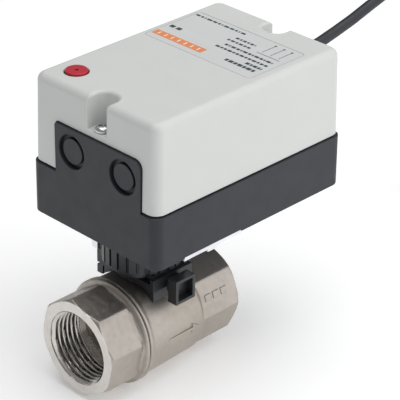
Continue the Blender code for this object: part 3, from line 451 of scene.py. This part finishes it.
def nickel(name):
    """Satin nickel plate on brass: as cast outside, turned in the ports and on their faces."""
    n = Nodes(name)
    split = n.add('ShaderNodeSeparateXYZ')
    n.join(n.coords, split.inputs[0])
    x, y, z = split.outputs
    squares = n.math('ADD', n.math('MULTIPLY', x, x), n.math('MULTIPLY', z, z))
    across = n.math('SQRT', squares, 0.0)
    inside = n.math('LESS_THAN', across, (THREAD_MAJOR_R + 0.75) * MM)
    face = n.math('GREATER_THAN', n.math('ABSOLUTE', y, 0.0), (PORT_FACE - 0.15) * MM)
    turned = n.math('MAXIMUM', inside, face)
    tone = n.ramp(n.noise(70.0, 5.0), (0.405, 0.370, 0.332), (0.505, 0.468, 0.428))
    warm = n.ramp(n.noise(25.0, 2.0), (0.415, 0.366, 0.316), (0.478, 0.440, 0.407))
    blend = n.mix(n.noise(40.0, 2.0), tone, warm)
    bright = n.ramp(n.noise(300.0, 2.0), (0.60, 0.57, 0.53), (0.66, 0.63, 0.60))
    colour = n.mix(turned, blend, bright)
    satin = n.ramp(n.noise(420.0, 4.0), 0.42, 0.56)
    shine = n.ramp(n.noise(500.0, 3.0), 0.16, 0.26)
    rough = n.mix(turned, satin, shine)
    skin = n.noise(1900.0, 3.0)
    rings = n.add('ShaderNodeTexWave', wave_type='RINGS', rings_direction='Y')
    rings.inputs["Scale"].default_value = 900.0
    n.join(n.coords, rings.inputs["Vector"])
    height = n.mix(turned, skin, rings.outputs["Fac"])
    fine = n.bump(height, 0.5, 0.028)
    return n.finish(colour, rough, n.bump(n.noise(300.0, 3.0), 0.25, 0.13, fine), 1.0)


def foil(name, colour, rough, spread=0.02):
    """Printed film: smooth, with the faintest long streaks."""
    n = Nodes(name)
    streaks = n.noise(30.0, 2.0, (1, 8, 1))
    tone = n.ramp(streaks, shift(colour, 1 - spread), shift(colour, 1 + spread))
    polish = n.ramp(n.noise(120.0, 3.0), rough - 0.04, rough + 0.04)
    return n.finish(tone, polish, n.bump(n.noise(700.0, 2.0), 0.12, 0.01))


def cable_sheath(name):
    """Soft PVC with the slight lengthwise drag of the extruder."""
    n = Nodes(name)
    tone = n.ramp(n.noise(60.0, 3.0), (0.0095, 0.0105, 0.0150), (0.0180, 0.0200, 0.0270))
    polish = n.ramp(n.noise(300.0, 3.0), 0.36, 0.50)
    drag = n.bump(n.noise(900.0, 2.0, (1, 0.1, 1)), 0.2, 0.02)
    return n.finish(tone, polish, drag)


def make_materials():
    return {
        "nickel_plated_brass": nickel("nickel_plate"),
        "chromed_brass": metal("hard_chrome", (0.80, 0.80, 0.82), 0.08, depth=0.002, spread=0.02),
        "bright_steel": metal("bright_steel", (0.66, 0.66, 0.68), 0.20, depth=0.006),
        "galvanised_steel": metal("galvanised_steel", (0.78, 0.79, 0.82), 0.34, grain=1.2,
                                  spread=0.10),
        "white_ptfe": plastic("white_ptfe", (0.86, 0.86, 0.84), 0.42, grain=0.6),
        "black_rubber": plastic("black_rubber", (0.022, 0.023, 0.026), 0.58, grain=0.25),
        "black_nylon": plastic("black_nylon", (0.018, 0.020, 0.024), 0.36, grain=0.3),
        "anthracite_plastic": plastic("anthracite_housing", (0.021, 0.025, 0.031), 0.45,
                                      grain=0.35, spread=0.05, specular=0.38),
        "light_grey_plastic": plastic("light_grey_housing", (0.645, 0.655, 0.640), 0.46, grain=0.4,
                                      depth=0.008, spread=0.012),
        "silver_label": foil("silver_film", (0.640, 0.655, 0.650), 0.36),
        "red_plastic": plastic("red_button", (0.50, 0.018, 0.035), 0.30, depth=0.004, spread=0.08),
        "natural_nylon": plastic("natural_nylon", (0.78, 0.75, 0.66), 0.42),
        "motor_can": metal("motor_can", (0.50, 0.51, 0.52), 0.32, spread=0.04),
        "circuit_board_green": plastic("circuit_board", (0.02, 0.16, 0.06), 0.38, grain=0.8,
                                       spread=0.15),
        "terminal_plastic": plastic("terminal_plastic", (0.05, 0.30, 0.12), 0.40),
        "capacitor_yellow": plastic("capacitor_sleeve", (0.55, 0.40, 0.05), 0.35),
        "black_pvc": cable_sheath("black_pvc"),
        "brown_pvc": plastic("brown_pvc", (0.14, 0.05, 0.02), 0.38, grain=0.5),
        "blue_pvc": plastic("blue_pvc", (0.03, 0.10, 0.42), 0.38, grain=0.5),
    }


# ---- Cable -------------------------------------------------------------------

def smooth_route(points, spacing):
    """Points about spacing apart on a smooth curve through the given ones."""
    path = [Vector(p) for p in points]
    ends = [2 * path[0] - path[1]] + path + [2 * path[-1] - path[-2]]
    dense = []
    for a, b, c, d in zip(ends, ends[1:], ends[2:], ends[3:]):
        count = max(1, round((c - b).length / spacing))
        for i in range(count):
            t = i / count
            dense.append(0.5 * (2 * b + (c - a) * t
                                + (2 * a - 5 * b + 4 * c - d) * t ** 2
                                + (3 * b - a - 3 * c + d) * t ** 3))
    dense.append(path[-1])
    return dense


def ease(value, start, end):
    share = min(1.0, max(0.0, (value - start) / (end - start)))
    return (1 - math.cos(math.pi * share)) / 2


def coil_points():
    """Two strands wide and two high, clockwise from the side where the cable
    comes in: an outer turn, then inwards, up, and out again."""
    outer, inner = COIL_TURN_R
    points = []
    for i in range(1, round(COIL_TURNS * 360 / COIL_STEP) + 1):
        along = COIL_STEP * i
        inwards = ease(along, *TURN_IN) - ease(along, *TURN_OUT)
        lift = ease(along, *CLIMB)
        angle = math.radians(180.0 - along)
        radius = outer + (inner - outer) * inwards
        points.append((COIL_CENTRE[0] + radius * math.cos(angle),
                       COIL_CENTRE[1] + radius * math.sin(angle),
                       CABLE_LOW_Z + (CABLE_HIGH_Z - CABLE_LOW_Z) * lift))
    return points


def tail_points():
    x, y = COIL_CENTRE[0] + COIL_TURN_R[0], COIL_CENTRE[1]
    points = []
    while y > SHEATH_END_Y:
        y = max(SHEATH_END_Y, y - 4.0)
        down = ease(-y, -TAIL_DOWN_Y[0], -TAIL_DOWN_Y[1])
        points.append((x, y, CABLE_HIGH_Z + (CABLE_LOW_Z - CABLE_HIGH_Z) * down))
    return points


def build_cable(mats):
    run = smooth_route(CABLE_ROUTE, 10.0)
    lead_in = [(CABLE_X, y, CABLE_LOW_Z) for y in (229.0, COIL_CENTRE[1])]
    route = [Vector(p) * MM for p in [*run, *lead_in, *coil_points(), *tail_points()]]
    data = bpy.data.curves.new("cable", 'CURVE')
    data.dimensions = '3D'
    data.bevel_depth = CABLE_R * MM
    data.bevel_resolution = 6
    data.use_fill_caps = True
    spline = data.splines.new('POLY')
    spline.points.add(len(route) - 1)
    for point, co in zip(spline.points, route):
        point.co = (*co, 1)
    spline.use_smooth = True
    cable = place(link("cable", data), mats["black_pvc"],
                  replaces=("cable_run", "cable_coil", "cable_tail"))


def build_bush(mats):
    """Strain relief: a flange against the wall and a tapering ribbed sleeve."""
    tip, root = 106.0, 86.2
    profile = [(CABLE_R + 0.15, tip), (CABLE_R + 0.45, tip), (CABLE_R + 0.7, tip - 0.3)]
    ribs = 6
    for i in range(ribs):
        y = tip - 1.4 - (tip - root - 2.2) * i / (ribs - 1)
        r = CABLE_R + 0.75 + (5.3 - CABLE_R - 0.75) * (tip - y) / (tip - root)
        profile += [(r, y + 0.5), (r - 0.45, y + 0.3), (r - 0.45, y - 0.4), (r + 0.12, y - 0.6)]
    profile += [(5.5, 86.0), (6.2, 85.6), (6.6, 85.2), (6.6, REAR_Y + GAP), (4.3, REAR_Y + GAP),
                (4.3, 77.6), (CABLE_R + 0.15, 77.6)]
    bush = lathe("strain_relief", profile, (CABLE_X, OPENING_Z), 'Y', 40, closed=True)
    place(shade(bush, 30), mats["black_rubber"], replaces=("cable_bush",))


# ---- Housing -----------------------------------------------------------------

def housing_ring(z, inset, corner=CORNER_R):
    low = (-HALF_X + inset, FRONT_Y + inset)
    high = (HALF_X - inset, REAR_Y - inset)
    return [(x, y, z) for x, y in rounded(low, high, corner)]


def cover_inset(z):
    return INSET_LOW + (INSET_HIGH - INSET_LOW) * (z - COVER_LOW) / (TOP - COVER_LOW)


def channel_cutter(name, end, inward):
    """The channel over a cover screw; it flares towards the top and the end face."""
    flare, mouth, inner = 1.5, 0.5, 4.6
    levels = [(LEDGE, 0.0)]
    for i in range(8):
        a = math.radians(78 * i / 7)
        levels.append((TOP - flare + flare * math.sin(a), flare * (1 - math.cos(a))))
    levels.append((TOP + 1.0, levels[-1][1] + 0.4))
    rings = []
    for z, grown in levels:
        half, depth, r = CHANNEL_HALF + grown, CHANNEL_DEPTH + grown, inner + grown
        face = cover_inset(z)
        right = arc((half + mouth, face + mouth), mouth, 270, 180, 6)
        right += arc((half - r, depth - r), r, 0, 90, 8)
        outline = [(half + mouth, face - 2.5)] + right
        outline += [(-x, y) for x, y in reversed(outline)]
        rings.append([(CHANNEL_X + x, end + inward * y, z) for x, y in outline])
    return loft(name, rings)


def tongue_panel(name, y0, y1, low, grow=0.0):
    left, right, top = TONGUE_X[0] - grow, TONGUE_X[1] + grow, TONGUE_TOP + grow
    r_left, r_right = (r + grow for r in TONGUE_CORNERS)
    outline = [(left, low), (right, low)]
    outline += arc((right - r_right, top - r_right), r_right, 0, 90, 8)
    outline += arc((left + r_left, top - r_left), r_left, 90, 180, 5)
    return prism(name, outline, *sorted((y0, y1)), axis='Y')


def build_cover(mats):
    rings = [housing_ring(COVER_LOW, INSET_LOW + 0.25)]
    rings += [housing_ring(z, cover_inset(z)) for z in (COVER_LOW + 0.3, TOP - TOP_FILLET)]
    for i in range(1, 10):
        a = math.radians(10 * i)
        z = TOP - TOP_FILLET + TOP_FILLET * math.sin(a)
        lean = TOP_FILLET * (1 - math.cos(a))
        rings.append(housing_ring(z, cover_inset(z) + lean, CORNER_R - lean))
    cover = loft("cover_shell", rings)
    inside = loft("cover_inside", [
        housing_ring(COVER_LOW - 3, INSET_LOW + COVER_WALL, 2.6),
        housing_ring(TOP - COVER_WALL, INSET_HIGH + COVER_WALL, 2.6)])
    for end, outer, inward in ENDS:
        far = sorted((outer, outer + inward * (CHANNEL_DEPTH + 3.0)))
        cut(inside, block("tower", (CHANNEL_X - CHANNEL_HALF - 3, far[0], LEDGE - 2.0),
                          (CHANNEL_X + CHANNEL_HALF + 3, far[1], TOP)))
    cut(cover, inside)
    for end, outer, inward in ENDS:
        cut(cover, channel_cutter(end + "_channel", outer, inward),
            tongue_panel(end + "_notch", outer - inward, outer + inward * (WALL + 2.0),
                         COVER_LOW - 3, 0.35),
            lathe(end + "_hole", [(1.9, LEDGE - 5), (1.9, LEDGE + 1)],
                  (CHANNEL_X, outer + inward * SCREW_INSET), steps=24))
    cut(cover,
        lathe("button_hole", [(BUTTON_R + 0.3, TOP - 5), (BUTTON_R + 0.3, TOP - 0.25),
                              (BUTTON_R + 0.9, TOP + 0.5)], CLUTCH_AXIS, steps=64),
        prism("label_recess", rounded((LABEL_X[0] - 0.25, LABEL_Y[0] - 0.25),
                                      (LABEL_X[1] + 0.25, LABEL_Y[1] + 0.25), 1.8),
              TOP - 0.42, TOP + 1))
    place(shade(cover), mats["light_grey_plastic"], replaces=("cover",))


def build_base(mats):
    fillet = 0.4
    rings = [housing_ring(BASE_LOW + fillet * (1 - math.cos(math.radians(30 * i))),
                          fillet * (1 - math.sin(math.radians(30 * i))), CORNER_R - 0.2)
             for i in range(4)]
    rings += [housing_ring(SEAM - 0.3, 0.0), housing_ring(SEAM, 0.3)]
    base = loft("base_shell", rings)
    cut(base, loft("base_inside", [housing_ring(z, WALL, 2.1) for z in (BASE_LOW + 3, SEAM + 5)]))
    for end, outer, inward in ENDS:
        panel = tongue_panel(end + "_tongue", outer, outer + inward * WALL, SEAM - 4)
        soften(panel, 0.3, 2, 60)
        join(base, panel,
             lathe(end + "_pillar", [(3.6, 73.5), (3.6, TONGUE_TOP - 0.2)],
                   (CHANNEL_X, outer + inward * SCREW_INSET), steps=32))
        cut(base, lathe(end + "_screw_hole", [(1.9, TONGUE_TOP - 17), (1.9, TONGUE_TOP + 2)],
                        (CHANNEL_X, outer + inward * SCREW_INSET), steps=24))
        for i, x in enumerate(OPENING_X):
            if (end, i) != ("rear", 0):
                cut(base, knockout(f"{end}_knockout{i}", x, outer, inward))
    for posts, height in ((LOW_POSTS, LOW_POST_TOP), (HIGH_POSTS, HIGH_POST_TOP)):
        for post in posts:
            join(base, lathe("post", [(2.5, BASE_LOW + 1), (2.5, height)], post, steps=20))
    for side in (-1, 1):
        centre = (side * PLATE_SCREW[0], PLATE_SCREW[1])
        join(base, lathe("boss", [(3.2, BASE_LOW + 1), (3.2, 55.5)], centre, steps=24))
        cut(base, lathe("boss_hole", [(1.8, BASE_LOW - 1), (1.8, 54.8)], centre, steps=20))
    join(base, lathe("axle_boss", [(3.4, BASE_LOW + 1), (3.4, 51.6)], CLUTCH_AXIS, steps=24))
    (left, near), far, high = PLATE_RECESS
    cut(base, lathe("floor_hole", [(8.5, 40), (8.5, 60)], steps=48),
        block("plate_recess", (left, near, BASE_LOW - 1), (HALF_X + 1, far, high)),
        lathe("axle_hole", [(1.8, 49.0), (1.8, 60)], CLUTCH_AXIS, steps=20),
        lathe("cable_hole", [(4.6, REAR_Y - 5), (4.6, REAR_Y + 1)], (CABLE_X, OPENING_Z), 'Y', 40))
    place(shade(base), mats["anthracite_plastic"],
          replaces=("base_housing",))


def knockout(name, x, outer, inward):
    """The sunk disc, with a deeper groove round it, that is knocked out for a cable."""
    r, groove = OPENING_R, OPENING_R - KNOCKOUT_GROOVE
    profile = [(r + 0.3, -0.5), (r + 0.3, -0.05), (r, 0.25), (r - 0.1, KNOCKOUT_DEEP),
               (groove + 0.1, KNOCKOUT_DEEP), (groove, KNOCKOUT_SUNK + 0.2),
               (groove - 0.2, KNOCKOUT_SUNK), (0.2, KNOCKOUT_SUNK)]
    return lathe(name, [(u, outer + inward * y) for u, y in profile], (x, OPENING_Z), 'Y', 72)


def build_button(mats):
    """Button with a dimple, and below the cover its collar and its hollow stalk."""
    top, edge, r = BUTTON_TOP - 0.6, 0.4, BUTTON_R - 0.25
    profile = [(0.25, top - 0.9), (0.75, top - 0.9), (0.85, top - 0.15), (1.15, top)]
    profile += [(r - edge + edge * math.sin(math.radians(15 * i)),
                 top - edge + edge * math.cos(math.radians(15 * i))) for i in range(7)]
    profile += [(r, 106.4), (6.6, 106.4), (6.6, 105.0), (2.0, 105.0), (2.0, 70.0),
                (2.8, 70.0), (2.8, 67.6), (1.8, 67.6), (1.8, 69.3), (0.2, 69.3)]
    button = lathe("button", profile, CLUTCH_AXIS, steps=64)
    place(shade(button, 30), mats["red_plastic"], "release",
          replaces=("release_button",))


def build_cover_screw(end, outer, inward, mats):
    """Pan-head screw with a cross recess."""
    x, y = CHANNEL_X, outer + inward * SCREW_INSET
    low, high = LEDGE + GAP, LEDGE + 2.4
    profile = [(0.2, high), (1.4, high - 0.05), (2.3, high - 0.3), (2.9, high - 0.8),
               (3.2, high - 1.4), (3.2, low + 0.1), (3.1, low), (1.5, low)]
    thread, pitch = 1.5, 0.7
    z = low - 2.0
    while z > TONGUE_TOP - 13.8:
        profile += [(thread, z), (thread - 0.3, z - pitch / 2), (thread, z - pitch)]
        z -= pitch
    profile += [(0.8, TONGUE_TOP - 14.7), (0.15, TONGUE_TOP - 15)]
    screw = lathe("screw_" + end, profile, (x, y), steps=40)
    for turn in (45, 135):
        rings = []
        c, s = math.cos(math.radians(turn)), math.sin(math.radians(turn))
        for depth, long, wide in ((1.5, 0.9, 0.28), (0.4, 1.7, 0.36), (-0.6, 2.1, 0.4)):
            corners = ((long, wide), (-long, wide), (-long, -wide), (long, -wide))
            rings.append([(x + c * u - s * v, y + s * u + c * v, high - depth)
                          for u, v in corners])
        cut(screw, loft("recess", rings))
    place(shade(screw, 30), mats["bright_steel"],
          replaces=("cover_screw_" + end,))


# ---- Label -------------------------------------------------------------------

def build_label(mats):
    """Film label with generic marks: a coloured bar, rows of dashes, a wiring sketch."""
    ink = foil("dark_ink", (0.045, 0.060, 0.065), 0.40, 0.1)
    orange = foil("orange_ink", (0.80, 0.27, 0.10), 0.40, 0.04)
    pale = foil("pale_ink", (0.86, 0.80, 0.74), 0.40)
    top = TOP - 0.02
    film = prism("label_film", rounded((LABEL_X[0], LABEL_Y[0]), (LABEL_X[1], LABEL_Y[1]), 1.5, 6),
                 TOP - 0.40, top)
    place(shade(film), mats["silver_label"], replaces=("label",))

    def print_marks(name, mat, marks, high):
        bm = bmesh.new()
        for (x0, y0), (x1, y1), width in marks:
            a, b = Vector((x0, y0, 0)), Vector((x1, y1, 0))
            along = (b - a).normalized()
            side = Vector((-along.y, along.x, 0)) * width / 2
            corners = [a - side, b - side, b + side, a + side]
            rows = [[bm.verts.new((p + Vector((0, 0, z))) * MM) for p in corners]
                    for z in (top + 0.005, high)]
            for i in range(4):
                j = (i + 1) % 4
                bm.faces.new((rows[0][i], rows[0][j], rows[1][j], rows[1][i]))
            bm.faces.new(rows[0])
            bm.faces.new(rows[1])
        place(from_bmesh(name, bm), mat)

    print_marks("label_bar", orange, LABEL_BAR, top + 0.03)
    print_marks("label_bar_gaps", pale, LABEL_BAR_GAPS, top + 0.045)
    print_marks("label_marks", ink, LABEL_MARKS, top + 0.03)


def dashes(start, end, widths, gap, height):
    """A row of short bars from one point towards another."""
    a, b = Vector(start), Vector(end)
    along = (b - a).normalized()
    marks = []
    at = 0.0
    i = 0
    while at < (b - a).length:
        long = widths[i % len(widths)]
        stop = min(at + long, (b - a).length)
        marks.append((tuple(a + along * at), tuple(a + along * stop), height))
        at = stop + gap
        i += 1
    return marks


LABEL_BAR = [((-30.2, 36.1), (-1.6, 36.1), 4.2)]
LABEL_BAR_GAPS = [((-27.4 + 3.8 * i, 35.0), (-27.4 + 3.8 * i, 37.2), 0.7) for i in range(7)]
LABEL_WIRES_X = (15.5, 20.2, 24.6)
LABEL_MARKS = (
    dashes((-29.6, 44.6), (-22.4, 44.6), (2.6,), 1.2, 2.2)
    + dashes((-30.0, 60.5), (-1.4, 60.5), (2.2, 1.4, 0.7, 2.8), 0.7, 1.3)
    + dashes((-1.6, 55.2), (9.5, 55.2), (1.8, 1.1), 0.6, 1.3)
    + dashes((-3.2, 51.8), (9.6, 51.8), (1.3, 2.1), 0.6, 1.3)
    + dashes((-0.5, 47.6), (26.0, 47.6), (1.6, 0.8, 2.3), 0.6, 1.4)
    + dashes((-2.4, 44.0), (26.4, 44.0), (2.2, 1.2, 1.6), 0.6, 1.4)
    + dashes((18.0, 40.4), (26.8, 40.4), (2.0, 1.1), 0.5, 1.7)
    + dashes((9.8, 37.0), (26.2, 37.0), (1.5, 2.4), 0.5, 1.9)
    + [((13.8, 51.2), (26.4, 51.2), 0.3)]
    + [((x, 52.6), (x, 60.4), 0.3) for x in LABEL_WIRES_X]
    + [((x - 0.5, 60.9), (x + 0.5, 60.9), 0.9) for x in LABEL_WIRES_X]
)


# ---- Valve -------------------------------------------------------------------

def port_cutter(name, end):
    """The tapped socket in one end: a mouth chamfer, then a right-hand thread."""
    steps, per_pitch = 72, 10
    start = PORT_FACE - (PORT_MOUTH_R - THREAD_MINOR_R)
    rings = [[(PORT_MOUTH_R + 1.0, PORT_FACE + 1.0)] * steps]
    count = round((PORT_DEPTH + 1.0) / THREAD_PITCH * per_pitch)
    for i in range(count + 1):
        y = PORT_FACE + 0.3 - (PORT_DEPTH + 0.3) * i / count
        ring = []
        for j in range(steps):
            phase = (y / THREAD_PITCH + end * j / steps) % 1.0
            wave = 0.5 - 0.5 * math.cos(2 * math.pi * phase)
            crest = THREAD_MINOR_R + (THREAD_MAJOR_R - THREAD_MINOR_R) * min(1.0, 1.12 * wave)
            run_out = min(1.0, max(0.0, (y - (PORT_FACE - PORT_DEPTH + 1.5)) / 2.0))
            r = THREAD_MAJOR_R + (crest - THREAD_MAJOR_R) * run_out
            r = max(r, PORT_MOUTH_R + (y - PORT_FACE))
            ring.append((r, y))
        rings.append(ring)
    return loft(name, [[on_axis('Y', (0, 0), r * math.cos(2 * math.pi * j / steps),
                                r * math.sin(2 * math.pi * j / steps), end * y)
                        for j, (r, y) in enumerate(ring)] for ring in rings])


def octagon(name, corner_r, start, end, turn):
    """An octagonal end whose corners are turned off at both faces."""
    low, high = sorted((start, end))
    flat = corner_r * math.cos(math.radians(22.5))
    fall = 1.7
    prism_ = prism(name, circle(corner_r, 8, turn), low, high, axis='Y')
    chamfer = lathe(name + "_chamfer", [
        (flat - 0.5, low), (corner_r + 0.1, low + fall), (corner_r + 0.1, high - fall),
        (flat - 0.5, high)], axis='Y', steps=96)
    return boolean(prism_, chamfer, 'INTERSECT')


def build_end_retainer(mats):
    blank = octagon("end_piece", FRONT_OCT_R, -PORT_FACE - 0.6, -19.3, FRONT_OCT_TURN)
    rim = lathe("retainer_rim", [(19.6, -9.6), (19.6, -17.7), (RIM_R - 0.25, -17.7),
                                 (RIM_R, -18.0), (RIM_R, -18.9), (RIM_R - 0.3, -19.2),
                                 (FRONT_OCT_R - 1.4, -19.9), (FRONT_OCT_R - 2.4, -22.0)],
                axis='Y', steps=96)
    join(blank, rim)
    cast(blank, 0.4, 5)
    cut(blank, block("facing", (-30, -45, -30), (30, -PORT_FACE, 30)),
        port_cutter("front_port", -1),
        lathe("retainer_waterway", [(15.3, -8.0), (15.3, -14.8), (WATERWAY_R, -14.8),
                                    (WATERWAY_R, -21.0)], axis='Y', steps=64))
    place(shade(blank), mats["nickel_plated_brass"],
          replaces=("end_retainer",))


def build_valve_body(mats):
    body = lathe("body_casting", [
        (RIM_R - 0.3, -17.4), (RIM_R, -17.1), (RIM_R, -15.9), (RIM_R - 0.3, -15.6),
        (22.5, -14.6), (21.7, 14.2), (19.6, 16.3), (19.4, 20.0)], axis='Y', steps=96)
    join(body, octagon("rear_octagon", REAR_OCT_R, 14.7, PORT_FACE + 0.6, 0),
         lathe("neck", [(NECK_R, 15.0), (NECK_R, NECK_TOP - 0.5), (NECK_R - 0.5, NECK_TOP)],
               steps=64))
    cast(body, 0.42, 6)
    join(body, *cast_marks())
    cut(body, block("facing", (-30, PORT_FACE, -30), (30, 45, 30)),
        lathe("neck_groove", [(8.3, FORK_Z[0] - GAP), (NECK_R + 2, FORK_Z[0] - GAP),
                              (NECK_R + 2, FORK_Z[1] + GAP), (8.3, FORK_Z[1] + GAP)],
              steps=48, closed=True),
        lathe("ball_cavity", [(WATERWAY_R, 20.5), (WATERWAY_R, 14.8), (15.3, 14.8),
                              (15.3, 9.6), (18.3, 9.6), (18.3, -8.0), (19.9, -8.0),
                              (19.9, -18.4)], axis='Y', steps=64),
        port_cutter("rear_port", 1),
        lathe("stem_bore", [(5.9, NECK_TOP + 1), (5.9, 21.2), (7.8, 21.2), (7.8, 14.0)],
              steps=48))
    place(shade(body), mats["nickel_plated_brass"],
          replaces=("valve_body",))


def cast_marks():
    """Raised marks: a flow arrow on the barrel's side and bars on the octagon."""
    marks = []

    def raised(name, outline, base, height, degrees):
        side = math.radians(degrees)
        out = Vector((math.cos(side), 0, math.sin(side)))
        across = Vector((-math.sin(side), 0, math.cos(side)))
        rings = []
        for lift in (-1.2, height - 0.15, height):
            shrink = 0.12 if lift == height else 0.0
            cx = sum(u for u, _ in outline) / len(outline)
            cy = sum(v for _, v in outline) / len(outline)
            ring = []
            for u, v in outline:
                u, v = u + (cx - u) * shrink, v + (cy - v) * shrink
                ring.append(tuple(out * (base + lift) + across * v + Vector((0, u, 0))))
            rings.append(ring)
        marks.append(loft(name, rings))

    raised("arrow_shaft", [(-6.0, -0.6), (8.0, -0.6), (8.0, 0.6), (-6.0, 0.6)], 22.0, 0.45, 0.0)
    raised("arrow_head", [(7.5, -2.2), (11.5, 0.0), (7.5, 2.2)], 21.75, 0.45, 0.0)
    flat = REAR_OCT_R * math.cos(math.radians(22.5))
    for i, (start, stop) in enumerate(((19.0, 22.4), (23.6, 27.0), (28.2, 31.6))):
        raised(f"bar{i}", [(start, -1.5), (stop, -1.5), (stop, 1.5), (start, 1.5)],
               flat, 0.35, 22.5)
    return marks


# ---- Adapter -----------------------------------------------------------------

def build_saddle(mats):
    """Block astride the pipe and the neck, with two claws down one side."""
    saddle = lathe("saddle", [(14.5, 26.7), (14.5, 29.4)], steps=72)
    join(saddle, block("saddle_block", (SADDLE_X[0], -SADDLE_HALF_Y, SADDLE_Z[0]),
                       (SADDLE_X[1], SADDLE_HALF_Y, SADDLE_Z[1])))
    for side in (-1, 1):
        low, high = span(side, *ARM_Y)
        join(saddle, block("claw_arm", (-18.1, low, 27.0), (-6.0, high, 29.1)))
        low, high = span(side, *CLAW_Y)
        join(saddle, block("claw", (CLAW_X[0], low, CLAW_Z[0]), (CLAW_X[1], high, CLAW_Z[1])))
        low, high = span(side, *PRONG_SLOT_Y)
        cut(saddle, block("prong_slot", (-14.5, low, FORK_Z[0] - GAP),
                          (16.6, high, FORK_Z[1] + GAP)))
        low, high = span(side, CLAW_Y[0] - 1.0, CLAW_Y[1] + 1.0)
        cut(saddle, block("claw_notch", (CLAW_X[0] - 1.0, low, CLAW_NOTCH_Z[0]),
                          (-16.9, high, CLAW_NOTCH_Z[1])))
    cut(saddle,
        lathe("pipe_clearance", [(22.8, -20), (22.8, 20)], axis='Y', steps=96),
        lathe("neck_clearance", [(NECK_R + GAP, 10), (NECK_R + GAP, 32)], steps=64))
    soften(saddle, 0.25)
    place(shade(saddle), mats["black_nylon"], replaces=("adapter_saddle",))


def build_fork(mats):
    """Bar with two prongs through the neck's groove and a hollow grip outside."""
    fork = block("fork", (FORK_BAR_X[0], -PRONG_Y[1], FORK_Z[0]),
                 (FORK_BAR_X[1], PRONG_Y[1], FORK_BAR_TOP))
    for side in (-1, 1):
        low, high = span(side, *PRONG_Y)
        join(fork, block("prong", (PRONG_TIP_X, low, FORK_Z[0] + 0.1),
                         (FORK_BAR_X[1] - 1.0, high, FORK_Z[1] - 0.1)))
    neck = block("grip_neck", (FORK_BAR_X[1] - 0.5, -GRIP_NECK_HALF_Y, GRIP_NECK_Z[0]),
                 (GRIP_X[0] + 0.5, GRIP_NECK_HALF_Y, GRIP_NECK_Z[1]))
    grip = prism("grip", rounded((-GRIP_HALF_Y, GRIP_Z[0]), (GRIP_HALF_Y, GRIP_Z[1]), 0.35, 4),
                 *GRIP_X, axis='X')
    hollow = prism("grip_hollow", rounded((-GRIP_HOLLOW_HALF_Y, GRIP_HOLLOW_Z[0]),
                                          (GRIP_HOLLOW_HALF_Y, GRIP_HOLLOW_Z[1]), 0.4, 4),
                   GRIP_X[0] + 1.4, GRIP_X[1] + 1.0, axis='X')
    join(fork, neck, grip)
    cut(fork, hollow)
    soften(fork, 0.2)
    place(shade(fork), mats["black_nylon"], "fork", replaces=("lock_fork",))


def dress_cad_nodes(mats):
    """The CAD nodes that stay: softened edges where they show, and their slot's finish."""
    softened = {"adapter_collar": 0.15, "mounting_plate": 0.2, "cable_tie": 0.3,
                "motor_body": 0.3, "terminal_block": 0.3}
    for name, node in frame["nodes"].items():
        slot = node.data.materials[0].name.split(".")[0]
        node.data.materials[0] = mats[slot]
        if node.hide_render:
            continue
        if name in softened:
            weld = node.modifiers.new("weld", 'WELD')
            weld.merge_threshold = 0.000005
            mod = node.modifiers.new("soft_edges", 'BEVEL')
            mod.width = softened[name] * MM
            mod.segments = 2
            mod.limit_method = 'ANGLE'
            mod.angle_limit = math.radians(40)


# ---- Studio ------------------------------------------------------------------

def area_light(name, towards, distance, size, watts):
    """A soft box that shines on the object from a direction."""
    data = bpy.data.lights.new(name, 'AREA')
    data.shape = 'RECTANGLE'
    data.size, data.size_y = size
    data.energy = watts
    light = link(name, data)
    aim = Vector((0.0, 0.02, 0.045))
    direction = Vector(towards).normalized()
    light.location = aim + direction * distance
    light.rotation_euler = direction.to_track_quat('Z', 'Y').to_euler()


def add_studio():
    floor_mat = Nodes("pale_floor")
    tone = floor_mat.ramp(floor_mat.noise(3.0, 2.0), 0.945, 0.955)
    rough = floor_mat.ramp(floor_mat.noise(8.0, 2.0), 0.80, 0.84)
    floor_mat.finish(tone, rough, floor_mat.bump(floor_mat.noise(200.0, 2.0), 0.02, 0.05))
    floor_mat.shader.inputs["Emission Color"].default_value = (1.0, 1.0, 1.0, 1.0)
    floor_mat.shader.inputs["Emission Strength"].default_value = 0.22
    half = 6000.0
    floor = loft("floor", [[(x, y, z) for x, y in ((-half, -half), (half, -half),
                                                     (half, half), (-half, half))]
                           for z in (GROUND - 10.0, GROUND)])
    floor.data.materials.append(floor_mat.mat)
    world = bpy.data.worlds.new("studio")
    world.use_nodes = True
    world.node_tree.nodes["Background"].inputs["Color"].default_value = (0.97, 0.98, 1.0, 1.0)
    world.node_tree.nodes["Background"].inputs["Strength"].default_value = 0.27
    bpy.context.scene.world = world
    area_light("overhead", (0.05, 0.1, 1.0), 1.3, (1.5, 1.5), 13.4)
    area_light("right_box", (0.90, 0.35, 0.42), 1.2, (1.6, 1.4), 7.5)
    area_light("left_box", (-0.42, -0.85, 0.35), 1.3, (1.2, 1.2), 0.15)
    bpy.context.scene.view_settings.view_transform = 'Standard'


# ---- Scene -------------------------------------------------------------------

add_camera()
materials = make_materials()
build_cable(materials)
build_bush(materials)
build_cover(materials)
build_base(materials)
build_button(materials)
for end_name, end_y, end_inward in ENDS:
    build_cover_screw(end_name, end_y, end_inward, materials)
build_label(materials)
build_end_retainer(materials)
build_valve_body(materials)
build_saddle(materials)
build_fork(materials)
dress_cad_nodes(materials)
add_studio()
